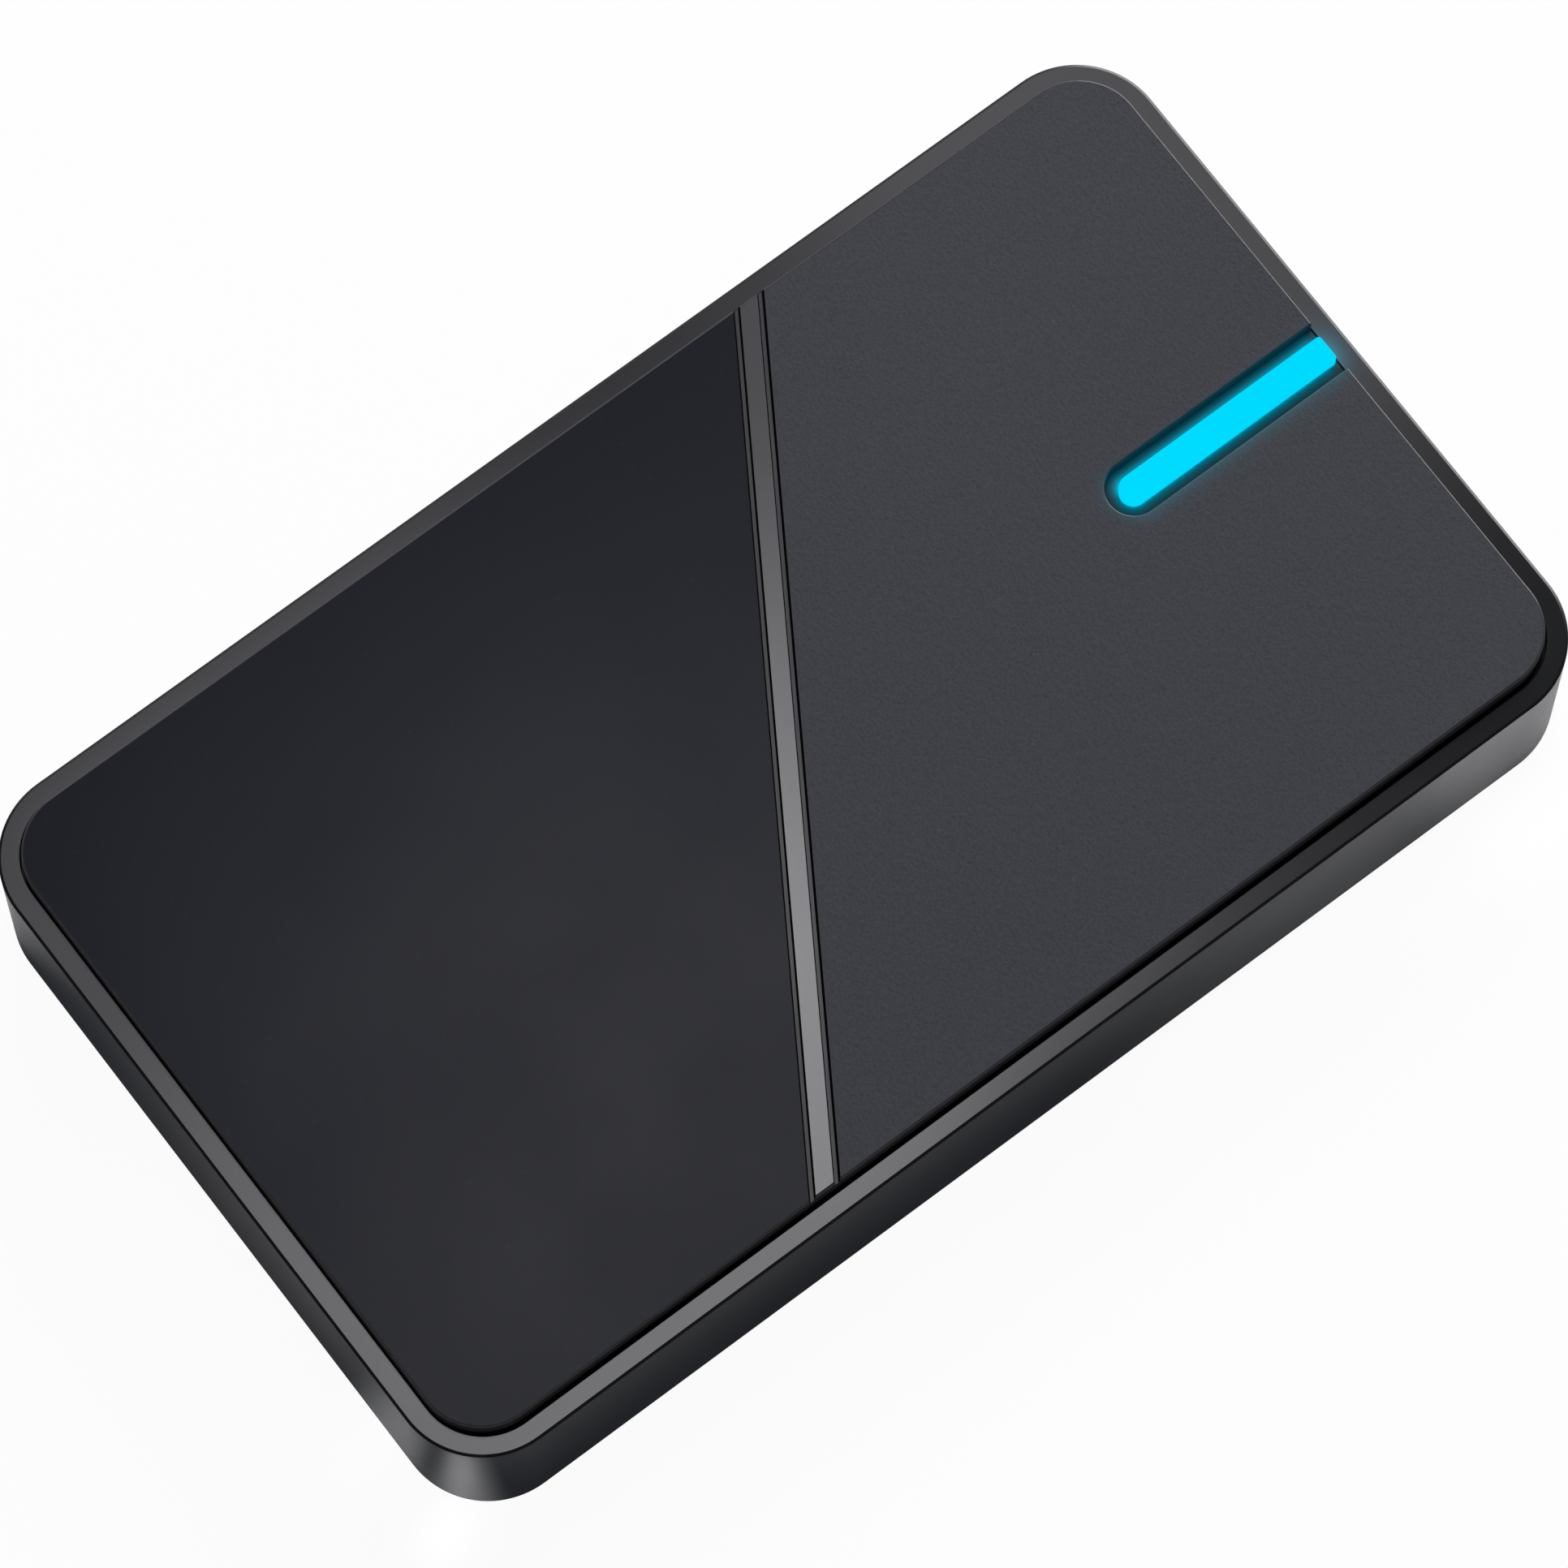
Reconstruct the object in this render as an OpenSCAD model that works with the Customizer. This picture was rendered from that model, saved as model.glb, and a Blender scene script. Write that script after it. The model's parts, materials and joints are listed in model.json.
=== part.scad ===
// Video capture box: a flat case with a raised two-part top plate, a leaning accent strip,
// a light bar, and a row of video and data sockets in its back wall.
// Millimetres. +X towards the light bar, +Y towards the sockets, +Z up.
// The origin lies under the middle of the case, on the surface that the feet stand on.

/* [Case] */
// Length of the case, along X
case_l = 112.6; // [104:0.1:130]
// Depth of the case, along Y
case_d = 66.2; // [62:0.1:84]
// Height of the case wall, from its bottom edge to the rim
case_h = 15.75; // [15:0.05:24]
// Radius of the case's upright outer corners
corner_r = 7.4; // [6.8:0.1:9]
// Radius of the upright corners inside the wall
opening_r = 5.4; // [4.6:0.1:6]
// Wall thickness of the two long sides
side_wall = 1.72; // [1.4:0.02:2.2]
// Wall thickness of the two ends
end_wall = 1.86; // [1.4:0.02:2.2]
// Width of the ledge that carries the top cover
ledge_w = 1.6; // [1:0.1:2]
// Thickness of that ledge
ledge_t = 1.2; // [0.8:0.1:1.6]

/* [Top plate] */
// How far the top plate stands above the rim
plate_raise = 1.65; // [1.2:0.05:2.4]
// Gap between the top plate and the rim along the long sides
side_gap = 0.34; // [0.1:0.02:0.6]
// Gap between the top plate and the rim at the ends
end_gap = 0.08; // [0.06:0.02:0.4]
// Thickness of the cover that carries the two panels
cover_t = 1.6; // [1.2:0.1:2]
// Radius of the pins that hold the panels to the cover
panel_pin_r = 0.9; // [0.7:0.05:1.2]

/* [Accent strip] */
// Lean of the strip away from the Y axis, in degrees
strip_lean = 32.5; // [20:0.5:38]
// Width of the strip's top face
strip_w = 1.45; // [1.2:0.05:3]
// Width of the groove on each side of the strip
groove_w = 0.58; // [0.45:0.01:0.9]
// Depth of the groove
groove_d = 0.35; // [0.2:0.05:0.6]
// Width of the flank on the groove's left
left_flank = 0.1; // [0.06:0.01:0.15]
// Width of the flank on the groove's right
right_flank = 0.23; // [0.1:0.01:0.25]

/* [Light bar] */
// Width of the slot around the light bar
slot_w = 4.72; // [4:0.02:7]
// Length of the slot, from the plate's end to the centre of its round end
slot_l = 19.76; // [17:0.02:26]
// Width of the light bar
bar_w = 2.36; // [2:0.02:3.4]
// Height of the light bar above the slot's floor
bar_h = 1.55; // [1:0.05:1.6]
// Width of the blade that leads light up to the bar
blade_w = 1.4; // [1:0.1:1.8]
// Length of that blade
blade_l = 11; // [9:0.5:13]
// Number of light emitters under the blade
led_count = 3; // [2:1:3]

/* [Base] */
// Thickness of the bottom cover's floor
floor_t = 1.6; // [1.4:0.1:2.2]
// How far the feet stand below the floor
foot_drop = 0.8; // [0.5:0.1:2]
// Radius of a foot
foot_r = 4; // [3:0.1:5]
// Height of the posts that carry the circuit board
post_h = 2.6; // [2.2:0.1:4]
// Number of vent slots in the floor
vent_count = 13; // [5:2:15]
// Length of a vent slot
vent_l = 20; // [12:1:24]
// Width of a vent slot
vent_w = 1.6; // [1.2:0.1:2]
// Distance from one vent slot to the next
vent_pitch = 3.6; // [3:0.1:4]

/* [Circuit board] */
// Thickness of the circuit board
board_t = 1.6; // [1:0.1:2]
// Side of the square video processor
processor_l = 15; // [12:0.5:17]
// Height of the video processor
processor_h = 1.3; // [1:0.1:1.6]
// Thickness of the thermal pad on the processor
pad_t = 0.5; // [0.3:0.1:0.8]
// Side of the square heat sink
sink_l = 22; // [18:1:24]
// Height of the heat sink
sink_h = 4.6; // [3:0.1:5]
// Number of fins on the heat sink
fin_count = 7; // [4:1:8]

/* [Sockets] */
// Place of the video input socket along X
video_in_x = -26; // [-32:0.5:-22]
// Place of the video output socket along X
video_out_x = 0; // [-3:0.5:4]
// Place of the data socket along X
data_x = 23; // [20:0.5:30]
// Inner width of a video socket
video_w = 14; // [14:0.05:14.3]
// Inner height of a video socket
video_h = 4.55; // [4.55:0.05:4.8]
// Depth of a video socket
video_depth = 12.5; // [11:0.1:14]
// Inner width of the data socket
data_w = 8.34; // [8.34:0.02:8.6]
// Inner height of the data socket
data_h = 2.56; // [2.56:0.02:2.7]
// Depth of the data socket
data_depth = 9.2; // [8:0.1:11]
// Sheet thickness of the socket shells
shell_t = 0.35; // [0.25:0.05:0.4]
// How far the socket mouths lie behind the outer wall face
mouth_set_back = 0.5; // [0.3:0.1:0.8]

/* [Fasteners] */
// Radius of the screw shanks
screw_r = 1; // [0.8:0.05:1.1]
// Radius of the screw heads
head_r = 1.85; // [1.7:0.05:1.95]
// Height of the screw heads
head_h = 1.2; // [0.9:0.1:1.3]
// Length of the case screws under their heads
case_screw_l = 7; // [5:0.5:8]

/* [Hidden] */
$fn = 64;

// Colours
case_colour = "#2c2d30";
gloss_colour = "#3a3b3e";
left_colour = "#232427";
right_colour = "#3c3d41";
light_colour = "#00dcff";
base_colour = "#1f2022";
rubber_colour = "#161616";
steel_colour = "#b4b6ba";
board_colour = "#14261c";
insulator_colour = "#101012";
gold_colour = "#c9a24a";
chip_colour = "#1a1b1d";
pad_colour = "#8d99a6";
sink_colour = "#9a9da1";
can_colour = "#c4c6c8";
core_colour = "#4b4a48";
ceramic_colour = "#a58a63";
led_colour = "#f2f0e6";

// Clearances and small overlaps
seam_gap = 0.15;
port_gap = 0.25;
pin_gap = 0.1;
thread_gap = 0.05;
strip_fit = 0.03;
blade_gap = 0.1;
led_gap = 0.4;
hook_gap = 0.2;
board_gap = 3;
board_back_gap = 1.5;
boss_gap = 0.6;
over = 1;

// Levels above the surface that the feet stand on
base_z = foot_drop;
floor_z = base_z + floor_t;
board_z = floor_z + post_h;
board_top = board_z + board_t;
rim_z = base_z + case_h;
cover_z = rim_z - cover_t;
ledge_z = cover_z - ledge_t;
plate_top = rim_z + plate_raise;

// Outlines of the case opening, the bottom cover and the top plate
open_l = case_l - 2 * end_wall;
open_d = case_d - 2 * side_wall;
plate_l = open_l - 2 * end_gap;
plate_d = open_d - 2 * side_gap;
plate_r = opening_r - end_gap;
base_l = open_l - 2 * seam_gap;
base_d = open_d - 2 * seam_gap;
base_r = opening_r - seam_gap;

// Corner bosses of the case and their screws
boss_r = 2.6;
boss_inset = 5.4;
boss_x = open_l / 2 - boss_inset;
boss_y = open_d / 2 - boss_inset;
rib_t = 1.2;
seat_h = 1.4;
seat_r = 3.2;
seat_floor = 1.3;
boss_z = floor_z + seat_h;
head_seat_z = boss_z - seat_floor;
bore_spare = 1;

// Cross recess of a screw head
cross_l = 2;
cross_w = 0.5;
cross_d = 0.6;

// Posts that carry the board, and their screws
post_r = 2.4;
post_inset_x = 6;
post_inset_y = 7;
post_x = boss_x - post_inset_x;
post_y = boss_y - post_inset_y;
post_spare = 0.4;
board_screw_l = board_t + post_h - post_spare;

// Feet
foot_sink = 0.6;
foot_edge = 0.3;
foot_inset_x = 12;
foot_inset_y = 1.5;
foot_x = boss_x - foot_inset_x;
foot_y = boss_y - foot_inset_y;

// Hooks that hold the top cover under the ledge
hook_w = 4;
hook_t = 1.2;
hook_lip = 0.7;
hook_lip_h = 0.8;
hook_inset_x = 7;
hook_inset_y = 11;
hook_x = boss_x - hook_inset_x;
hook_y = boss_y - hook_inset_y;

// Pins under the panels and the strip
pin_spare = 0.2;
pin_l = cover_t - pin_spare;
pin_edge = 9;
pin_step = 8;
pin_row_edge = 13;
pin_row = plate_d / 2 - pin_row_edge;
strip_pin_r = 0.5;
strip_pin_edge = 16;
strip_pin_y = plate_d / 2 - strip_pin_edge;

// Accent strip, measured across its length from its middle line
strip_slope = tan(strip_lean);
strip_reach = plate_l;
groove_z = plate_raise - groove_d;
strip_half = strip_w / 2;
left_edge = -strip_half - groove_w;
right_edge = strip_half + groove_w;
left_foot = left_edge + left_flank;
right_foot = right_edge - right_flank;

// Light bar and the emitters under it
slot_x = plate_l / 2 - slot_l;
bar_end_gap = 0.12;
blade_start = 2;
blade_x = slot_x + blade_start;
led_l = 3;
led_w = 2.6;
led_h = 1.4;
led_step = (blade_l - led_l) / (led_count - 1);

// Circuit board outline
board_x = open_l / 2 - board_gap;
board_front = -open_d / 2 + board_gap;
board_back = open_d / 2 - board_back_gap;
notch_x = boss_x - boss_r - boss_gap;
notch_y = boss_y - boss_r - boss_gap;

// Sockets
mouth_y = case_d / 2 - mouth_set_back;
tongue_set_back = 1.6;
video_chamfer_x = 2;
video_chamfer_z = 1.9;
video_outer_w = video_w + 2 * shell_t;
video_outer_h = video_h + 2 * shell_t;
video_floor_z = board_top + shell_t;
video_mid_z = video_floor_z + video_h / 2;
video_tongue_w = 11.2;
video_tongue_t = 1.3;
video_root = 3.6;
video_pitch = 1;
video_upper_contacts = 10;
video_lower_contacts = 9;
video_contact_w = 0.5;
data_outer_w = data_w + 2 * shell_t;
data_outer_h = data_h + 2 * shell_t;
data_mid_z = board_top + data_outer_h / 2;
data_tongue_w = 6.7;
data_tongue_t = 0.7;
data_root = 2.6;
data_pitch = 0.5;
data_contacts_each = 12;
data_contact_w = 0.26;
contact_t = 0.1;
contact_set_back = 0.5;
tongue_fit = 0.05;
tab_depth = 0.9;

// Parts on the board
processor_x = -8;
processor_y = -8;
sink_base = 1.2;
fin_t = 0.9;
chip_h = 0.9;
memory_l = 9;
memory_w = 11;
memory_gap = 4.5;
memory_step = sink_l / 2 + memory_gap + memory_l / 2;
memory_reach = memory_step + memory_l / 2;
chip_row_gap = 8;
chip_row_y = mouth_y - video_depth - chip_row_gap;
receiver_l = 10;
driver_l = 8;
bridge_l = 7;
flash_l = 6;
flash_w = 5;
flash_gap = 5;
flash_x = processor_x + memory_reach + flash_gap + flash_l / 2;
crystal_l = 3.2;
crystal_w = 2.5;
crystal_h = 0.8;
crystal_side = 8;
regulator_l = 3.4;
regulator_w = 3;
power_gap = 1;
power_shift = 2;
power_pitch = 6;
power_count = 3;
regulator_x = processor_x - memory_reach - power_gap - regulator_l / 2;
inductor_l = 5;
inductor_h = 3;
inductor_x = regulator_x - regulator_l / 2 - power_gap - inductor_l / 2;
capacitor_r = 2;
capacitor_h = 5;
capacitor_inset = 14;
capacitor_x = boss_x - capacitor_inset;
capacitor_edge = 8.4;
capacitor_y = board_front + capacitor_edge;
capacitor_pitch = 6;
capacitor_count = 2;
small_l = 1.6;
small_w = 0.8;
small_h = 0.8;
small_count = 6;
small_pitch = 2.6;
small_gap = 1.2;

// Flat rectangle with round corners
module rounded_rect(length, depth, radius) {
    square([length - 2 * radius, depth], center = true);
    square([length, depth - 2 * radius], center = true);
    for (side_x = [-1, 1], side_y = [-1, 1])
        translate([side_x * (length / 2 - radius), side_y * (depth / 2 - radius)])
            circle(r = radius);
}

// Flat slot with two round ends, along X
module round_slot(length, width) {
    square([length - width, width], center = true);
    for (side = [-1, 1])
        translate([side * (length - width) / 2, 0])
            circle(d = width);
}

// Children at the four corners of a rectangle
module at_corners(x, y) {
    for (side_x = [-1, 1], side_y = [-1, 1])
        translate([side_x * x, side_y * y, 0])
            children();
}

// Block that stands on the board, centred at a place
module on_board(x, y, size) {
    translate([x - size[0] / 2, y - size[1] / 2, board_top])
        cube(size);
}

// Children extruded along Y, from a front face backwards
module back_from(front_y, depth) {
    translate([0, front_y, 0])
        rotate([90, 0, 0])
            linear_extrude(depth)
                children();
}

// Pan-head screw with a cross recess, its head below and its shank upwards
module screw(shank_l) {
    difference() {
        union() {
            cylinder(r = head_r, h = head_h);
            translate([0, 0, head_h])
                cylinder(r = screw_r, h = shank_l);
        }
        for (turn = [0, 90])
            rotate(turn)
                translate([-cross_l / 2, -cross_w / 2, -over])
                    cube([cross_l, cross_w, cross_d + over]);
    }
}

// Outline of the wall cut-out for a video socket, seen along Y
module video_cut_out(x) {
    low = board_top - port_gap;
    height = video_outer_h + 2 * port_gap;
    width = video_outer_w + 2 * port_gap;
    translate([x - width / 2, low])
        square([width, height]);
}

// Outline of the wall cut-out for the data socket, seen along Y
module data_cut_out() {
    translate([data_x, data_mid_z])
        round_slot(data_outer_w + 2 * port_gap, data_outer_h + 2 * port_gap);
}

// Outline of the notch below a cut-out, down through the wall's bottom edge
module notch_below(x, width, top_z) {
    translate([x - width / 2, base_z - over])
        square([width, top_z - base_z + over]);
}

// Outline of every notch in the back wall, less a clearance at its two sides
module back_notches(clearance) {
    for (x = [video_in_x, video_out_x])
        notch_below(x, video_outer_w + 2 * port_gap - 2 * clearance, board_top);
    notch_below(data_x, data_outer_w + 2 * port_gap - 2 * clearance, data_mid_z);
}

// Outline of every cut-out in the back wall
module back_cut_outs() {
    for (x = [video_in_x, video_out_x])
        video_cut_out(x);
    data_cut_out();
}

// Wall ring of the case with its ledge, corner bosses and socket notches
module case_frame() {
    wall_z = ledge_z - boss_z;
    color(case_colour)
        difference() {
            union() {
                translate([0, 0, base_z])
                    linear_extrude(case_h)
                        difference() {
                            rounded_rect(case_l, case_d, corner_r);
                            rounded_rect(open_l, open_d, opening_r);
                        }
                translate([0, 0, ledge_z])
                    linear_extrude(ledge_t)
                        difference() {
                            rounded_rect(case_l - end_wall, case_d - side_wall, opening_r);
                            rounded_rect(open_l - 2 * ledge_w, open_d - 2 * ledge_w, opening_r - ledge_w);
                        }
                at_corners(boss_x, boss_y)
                    translate([0, 0, boss_z])
                        cylinder(r = boss_r, h = wall_z);
                for (side_x = [-1, 1], side_y = [-1, 1])
                    boss_ribs(side_x, side_y, wall_z);
            }
            at_corners(boss_x, boss_y)
                translate([0, 0, boss_z - over])
                    cylinder(r = screw_r + thread_gap, h = case_screw_l - seat_floor + bore_spare + over);
            back_from(case_d / 2 + over, side_wall + 2 * over) {
                back_notches(0);
                back_cut_outs();
            }
        }
}

// Two ribs that tie one boss to the end wall and to the side wall
module boss_ribs(side_x, side_y, height) {
    reach = boss_inset - boss_r / 2;
    end_reach = reach + end_wall / 2;
    side_reach = reach + side_wall / 2;
    translate([side_x * (boss_x + boss_r / 2 + end_reach / 2), side_y * boss_y, boss_z + height / 2])
        cube([end_reach, rib_t, height], center = true);
    translate([side_x * boss_x, side_y * (boss_y + boss_r / 2 + side_reach / 2), boss_z + height / 2])
        cube([rib_t, side_reach, height], center = true);
}

// Places of the pins under a panel: -1 is the left panel, 1 the right one
function panel_pins(side) = [
    for (row = [-1, 1])
        each [
            [side * (plate_l / 2 - pin_edge), row * (plate_d / 2 - pin_edge)],
            [row * pin_row * strip_slope + side * pin_step, row * pin_row]
        ]
];

// Places of the pins under the strip
strip_pins = [for (row = [-1, 1]) [row * strip_pin_y * strip_slope, row * strip_pin_y]];

// Pins that hang from a panel into the cover
module pins(places, radius) {
    for (place = places)
        translate([place[0], place[1], rim_z - pin_l])
            cylinder(r = radius, h = pin_l + groove_z / 2);
}

// One hook on the cover's underside, its lip pointing along +Y under the ledge
module hook(edge_y) {
    leg_h = ledge_t + hook_gap + hook_lip_h;
    leg_y = edge_y - ledge_w - hook_gap - hook_t;
    translate([-hook_w / 2, leg_y, cover_z - leg_h])
        cube([hook_w, hook_t, leg_h + cover_t / 2]);
    translate([-hook_w / 2, leg_y, cover_z - leg_h])
        cube([hook_w, hook_t + hook_gap + hook_lip, hook_lip_h]);
}

// Cover that closes the case's top and carries the panels, the strip and the light bar
module top_cover() {
    color(gloss_colour)
        difference() {
            union() {
                translate([0, 0, cover_z])
                    linear_extrude(cover_t)
                        rounded_rect(plate_l, plate_d, plate_r);
                for (side = [-1, 1], turn = [0, 180])
                    rotate(turn)
                        translate([side * hook_x, 0, 0])
                            hook(open_d / 2);
                for (side = [-1, 1], turn = [90, 270])
                    rotate(turn)
                        translate([side * hook_y, 0, 0])
                            hook(open_l / 2);
            }
            for (places = [panel_pins(-1), panel_pins(1)], place = places)
                translate([place[0], place[1], cover_z - over])
                    cylinder(r = panel_pin_r + pin_gap, h = cover_t + 2 * over);
            for (place = strip_pins)
                translate([place[0], place[1], cover_z - over])
                    cylinder(r = strip_pin_r + pin_gap, h = cover_t + 2 * over);
            translate([blade_x - blade_gap, -blade_w / 2 - blade_gap, cover_z - over])
                cube([blade_l + 2 * blade_gap, blade_w + 2 * blade_gap, cover_t + 2 * over]);
        }
}

// Children drawn across the strip and stretched along its length, standing on the rim level
module along_strip() {
    translate([0, 0, rim_z])
        rotate(-strip_lean)
            translate([0, strip_reach, 0])
                rotate([90, 0, 0])
                    linear_extrude(2 * strip_reach)
                        children();
}

// Raised plate outline as a solid, from the rim level up
module plate_block() {
    translate([0, 0, rim_z])
        linear_extrude(plate_raise)
            rounded_rect(plate_l, plate_d, plate_r);
}

// Smooth panel left of the strip
module left_panel() {
    color(left_colour)
        union() {
            intersection() {
                plate_block();
                along_strip()
                    polygon([
                        [-plate_l, -over],
                        [left_foot, -over],
                        [left_foot, groove_z],
                        [left_edge, plate_raise],
                        [left_edge, plate_raise + over],
                        [-plate_l, plate_raise + over]
                    ]);
            }
            pins(panel_pins(-1), panel_pin_r);
        }
}

// Grained panel right of the strip, with the slot for the light bar
module right_panel() {
    color(right_colour)
        union() {
            difference() {
                intersection() {
                    plate_block();
                    along_strip()
                        polygon([
                            [plate_l, -over],
                            [right_foot, -over],
                            [right_foot, groove_z],
                            [right_edge, plate_raise],
                            [right_edge, plate_raise + over],
                            [plate_l, plate_raise + over]
                        ]);
                }
                translate([slot_x, 0, rim_z - over])
                    linear_extrude(plate_raise + 2 * over) {
                        circle(d = slot_w);
                        translate([0, -slot_w / 2])
                            square([slot_l + over, slot_w]);
                    }
            }
            pins(panel_pins(1), panel_pin_r);
        }
}

// Strip that leans across the plate, with a groove floor on each side of its raised middle
module accent_strip() {
    color(gloss_colour)
        union() {
            intersection() {
                plate_block();
                along_strip()
                    polygon([
                        [left_foot + strip_fit, 0],
                        [right_foot - strip_fit, 0],
                        [right_foot - strip_fit, groove_z],
                        [strip_half + left_flank, groove_z],
                        [strip_half, plate_raise],
                        [-strip_half, plate_raise],
                        [-strip_half - right_flank, groove_z],
                        [left_foot + strip_fit, groove_z]
                    ]);
            }
            pins(strip_pins, strip_pin_r);
        }
}

// Light guide: the bar that shows in the slot and the blade that reaches down to the emitters
module light_bar() {
    blade_bottom = board_top + led_h + led_gap;
    color(light_colour)
        union() {
            translate([slot_x, 0, rim_z])
                linear_extrude(bar_h) {
                    circle(d = bar_w);
                    translate([0, -bar_w / 2])
                        square([slot_l - bar_end_gap, bar_w]);
                }
            translate([blade_x, -blade_w / 2, blade_bottom])
                cube([blade_l, blade_w, rim_z - blade_bottom + bar_h / 2]);
        }
}

// Emitters on the board under the blade
module status_leds() {
    color(led_colour)
        for (i = [0 : led_count - 1])
            on_board(blade_x + led_l / 2 + i * led_step, 0, [led_l, led_w, led_h]);
}

// Floor of the case with board posts, screw seats, foot recesses, vents and socket tabs
module bottom_cover() {
    color(base_colour)
        difference() {
            union() {
                translate([0, 0, base_z])
                    linear_extrude(floor_t)
                        rounded_rect(base_l, base_d, base_r);
                at_corners(boss_x, boss_y)
                    translate([0, 0, base_z])
                        cylinder(r = seat_r, h = floor_t + seat_h);
                at_corners(post_x, post_y)
                    translate([0, 0, base_z])
                        cylinder(r = post_r, h = floor_t + post_h);
                socket_tabs();
            }
            at_corners(boss_x, boss_y) {
                translate([0, 0, base_z - over])
                    cylinder(r = head_r + port_gap, h = head_seat_z - base_z + over);
                cylinder(r = screw_r + pin_gap, h = boss_z + over);
            }
            at_corners(post_x, post_y)
                translate([0, 0, floor_z])
                    cylinder(r = screw_r + thread_gap, h = post_h + over);
            at_corners(foot_x, foot_y)
                translate([0, 0, base_z - over])
                    cylinder(r = foot_r + thread_gap, h = foot_sink + over);
            for (i = [0 : vent_count - 1])
                translate([(i - (vent_count - 1) / 2) * vent_pitch, 0, base_z - over])
                    rotate(90)
                        linear_extrude(floor_t + 2 * over)
                            round_slot(vent_l, vent_w);
        }
}

// Tabs that close the wall notches below the sockets
module socket_tabs() {
    depth = side_wall + tab_depth;
    back_from(case_d / 2, depth)
        difference() {
            back_notches(seam_gap);
            back_cut_outs();
            translate([-case_l, base_z - 2 * over])
                square([2 * case_l, 2 * over]);
        }
}

// Four soft feet, each sunk into its recess
module rubber_feet() {
    color(rubber_colour)
        at_corners(foot_x, foot_y)
            rotate_extrude()
                polygon([
                    [0, 0],
                    [foot_r - foot_edge, 0],
                    [foot_r, foot_edge],
                    [foot_r, foot_drop + foot_sink],
                    [0, foot_drop + foot_sink]
                ]);
}

// Screws that hold the bottom cover to the case's bosses
module case_screws() {
    color(steel_colour)
        at_corners(boss_x, boss_y)
            translate([0, 0, head_seat_z - head_h])
                screw(case_screw_l);
}

// Circuit board with clipped corners and four screw holes
module main_board() {
    color(board_colour)
        translate([0, 0, board_z])
            linear_extrude(board_t)
                difference() {
                    translate([-board_x, board_front])
                        square([2 * board_x, board_back - board_front]);
                    for (side_x = [-1, 1], side_y = [-1, 1])
                        translate([side_x * (notch_x + case_l / 2), side_y * (notch_y + case_d / 2)])
                            square([case_l, case_d], center = true);
                    for (side_x = [-1, 1], side_y = [-1, 1])
                        translate([side_x * post_x, side_y * post_y])
                            circle(r = screw_r + pin_gap);
                }
}

// Screws that hold the board to its posts
module board_screws() {
    color(steel_colour)
        at_corners(post_x, post_y)
            translate([0, 0, board_top + head_h])
                rotate([180, 0, 0])
                    screw(board_screw_l);
}

// Outline of a video socket's inside, seen along Y, grown by a sheet thickness
module video_outline(x, grow) {
    half = video_w / 2 + grow;
    low = video_floor_z - grow;
    high = video_floor_z + video_h + grow;
    translate([x, 0])
        polygon([
            [-half, high],
            [-half, low + video_chamfer_z],
            [-half + video_chamfer_x, low],
            [half - video_chamfer_x, low],
            [half, low + video_chamfer_z],
            [half, high]
        ]);
}

// Steel shell of a video socket, closed at its back
module video_shell(x) {
    color(steel_colour)
        union() {
            back_from(mouth_y, video_depth)
                difference() {
                    video_outline(x, shell_t);
                    video_outline(x, 0);
                }
            back_from(mouth_y - video_depth + shell_t, shell_t)
                video_outline(x, shell_t / 2);
        }
}

// Insulator of a video socket: the block at the back and the tongue that carries the contacts
module video_tongue(x) {
    back_y = mouth_y - video_depth + shell_t;
    root_y = back_y + video_root;
    front_y = mouth_y - tongue_set_back;
    color(insulator_colour)
        union() {
            back_from(root_y, video_root)
                video_outline(x, -tongue_fit);
            translate([x - video_tongue_w / 2, root_y - over, video_mid_z - video_tongue_t / 2])
                cube([video_tongue_w, front_y - root_y + over, video_tongue_t]);
        }
}

// Row of contacts along X, centred at a place
module contact_row(x, z, count, pitch, width, root_y, front_y) {
    for (i = [0 : count - 1])
        translate([x + (i - (count - 1) / 2) * pitch - width / 2, root_y, z])
            cube([width, front_y - root_y, contact_t]);
}

// Contacts on both faces of a video socket's tongue
module video_contacts(x) {
    root_y = mouth_y - video_depth + shell_t + video_root;
    front_y = mouth_y - tongue_set_back - contact_set_back;
    upper_z = video_mid_z + video_tongue_t / 2;
    lower_z = video_mid_z - video_tongue_t / 2 - contact_t;
    color(gold_colour) {
        contact_row(x, upper_z, video_upper_contacts, video_pitch, video_contact_w, root_y, front_y);
        contact_row(x, lower_z, video_lower_contacts, video_pitch, video_contact_w, root_y, front_y);
    }
}

module video_in_shell() {
    video_shell(video_in_x);
}

module video_in_tongue() {
    video_tongue(video_in_x);
}

module video_in_contacts() {
    video_contacts(video_in_x);
}

module video_out_shell() {
    video_shell(video_out_x);
}

module video_out_tongue() {
    video_tongue(video_out_x);
}

module video_out_contacts() {
    video_contacts(video_out_x);
}

// Outline of the data socket's inside, seen along Y, grown by a sheet thickness
module data_outline(grow) {
    translate([data_x, data_mid_z])
        round_slot(data_w + 2 * grow, data_h + 2 * grow);
}

// Steel shell of the data socket, closed at its back
module data_shell() {
    color(steel_colour)
        union() {
            back_from(mouth_y, data_depth)
                difference() {
                    data_outline(shell_t);
                    data_outline(0);
                }
            back_from(mouth_y - data_depth + shell_t, shell_t)
                data_outline(shell_t / 2);
        }
}

// Insulator of the data socket
module data_tongue() {
    back_y = mouth_y - data_depth + shell_t;
    root_y = back_y + data_root;
    front_y = mouth_y - tongue_set_back;
    color(insulator_colour)
        union() {
            back_from(root_y, data_root)
                data_outline(-tongue_fit);
            translate([data_x - data_tongue_w / 2, root_y - over, data_mid_z - data_tongue_t / 2])
                cube([data_tongue_w, front_y - root_y + over, data_tongue_t]);
        }
}

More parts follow.
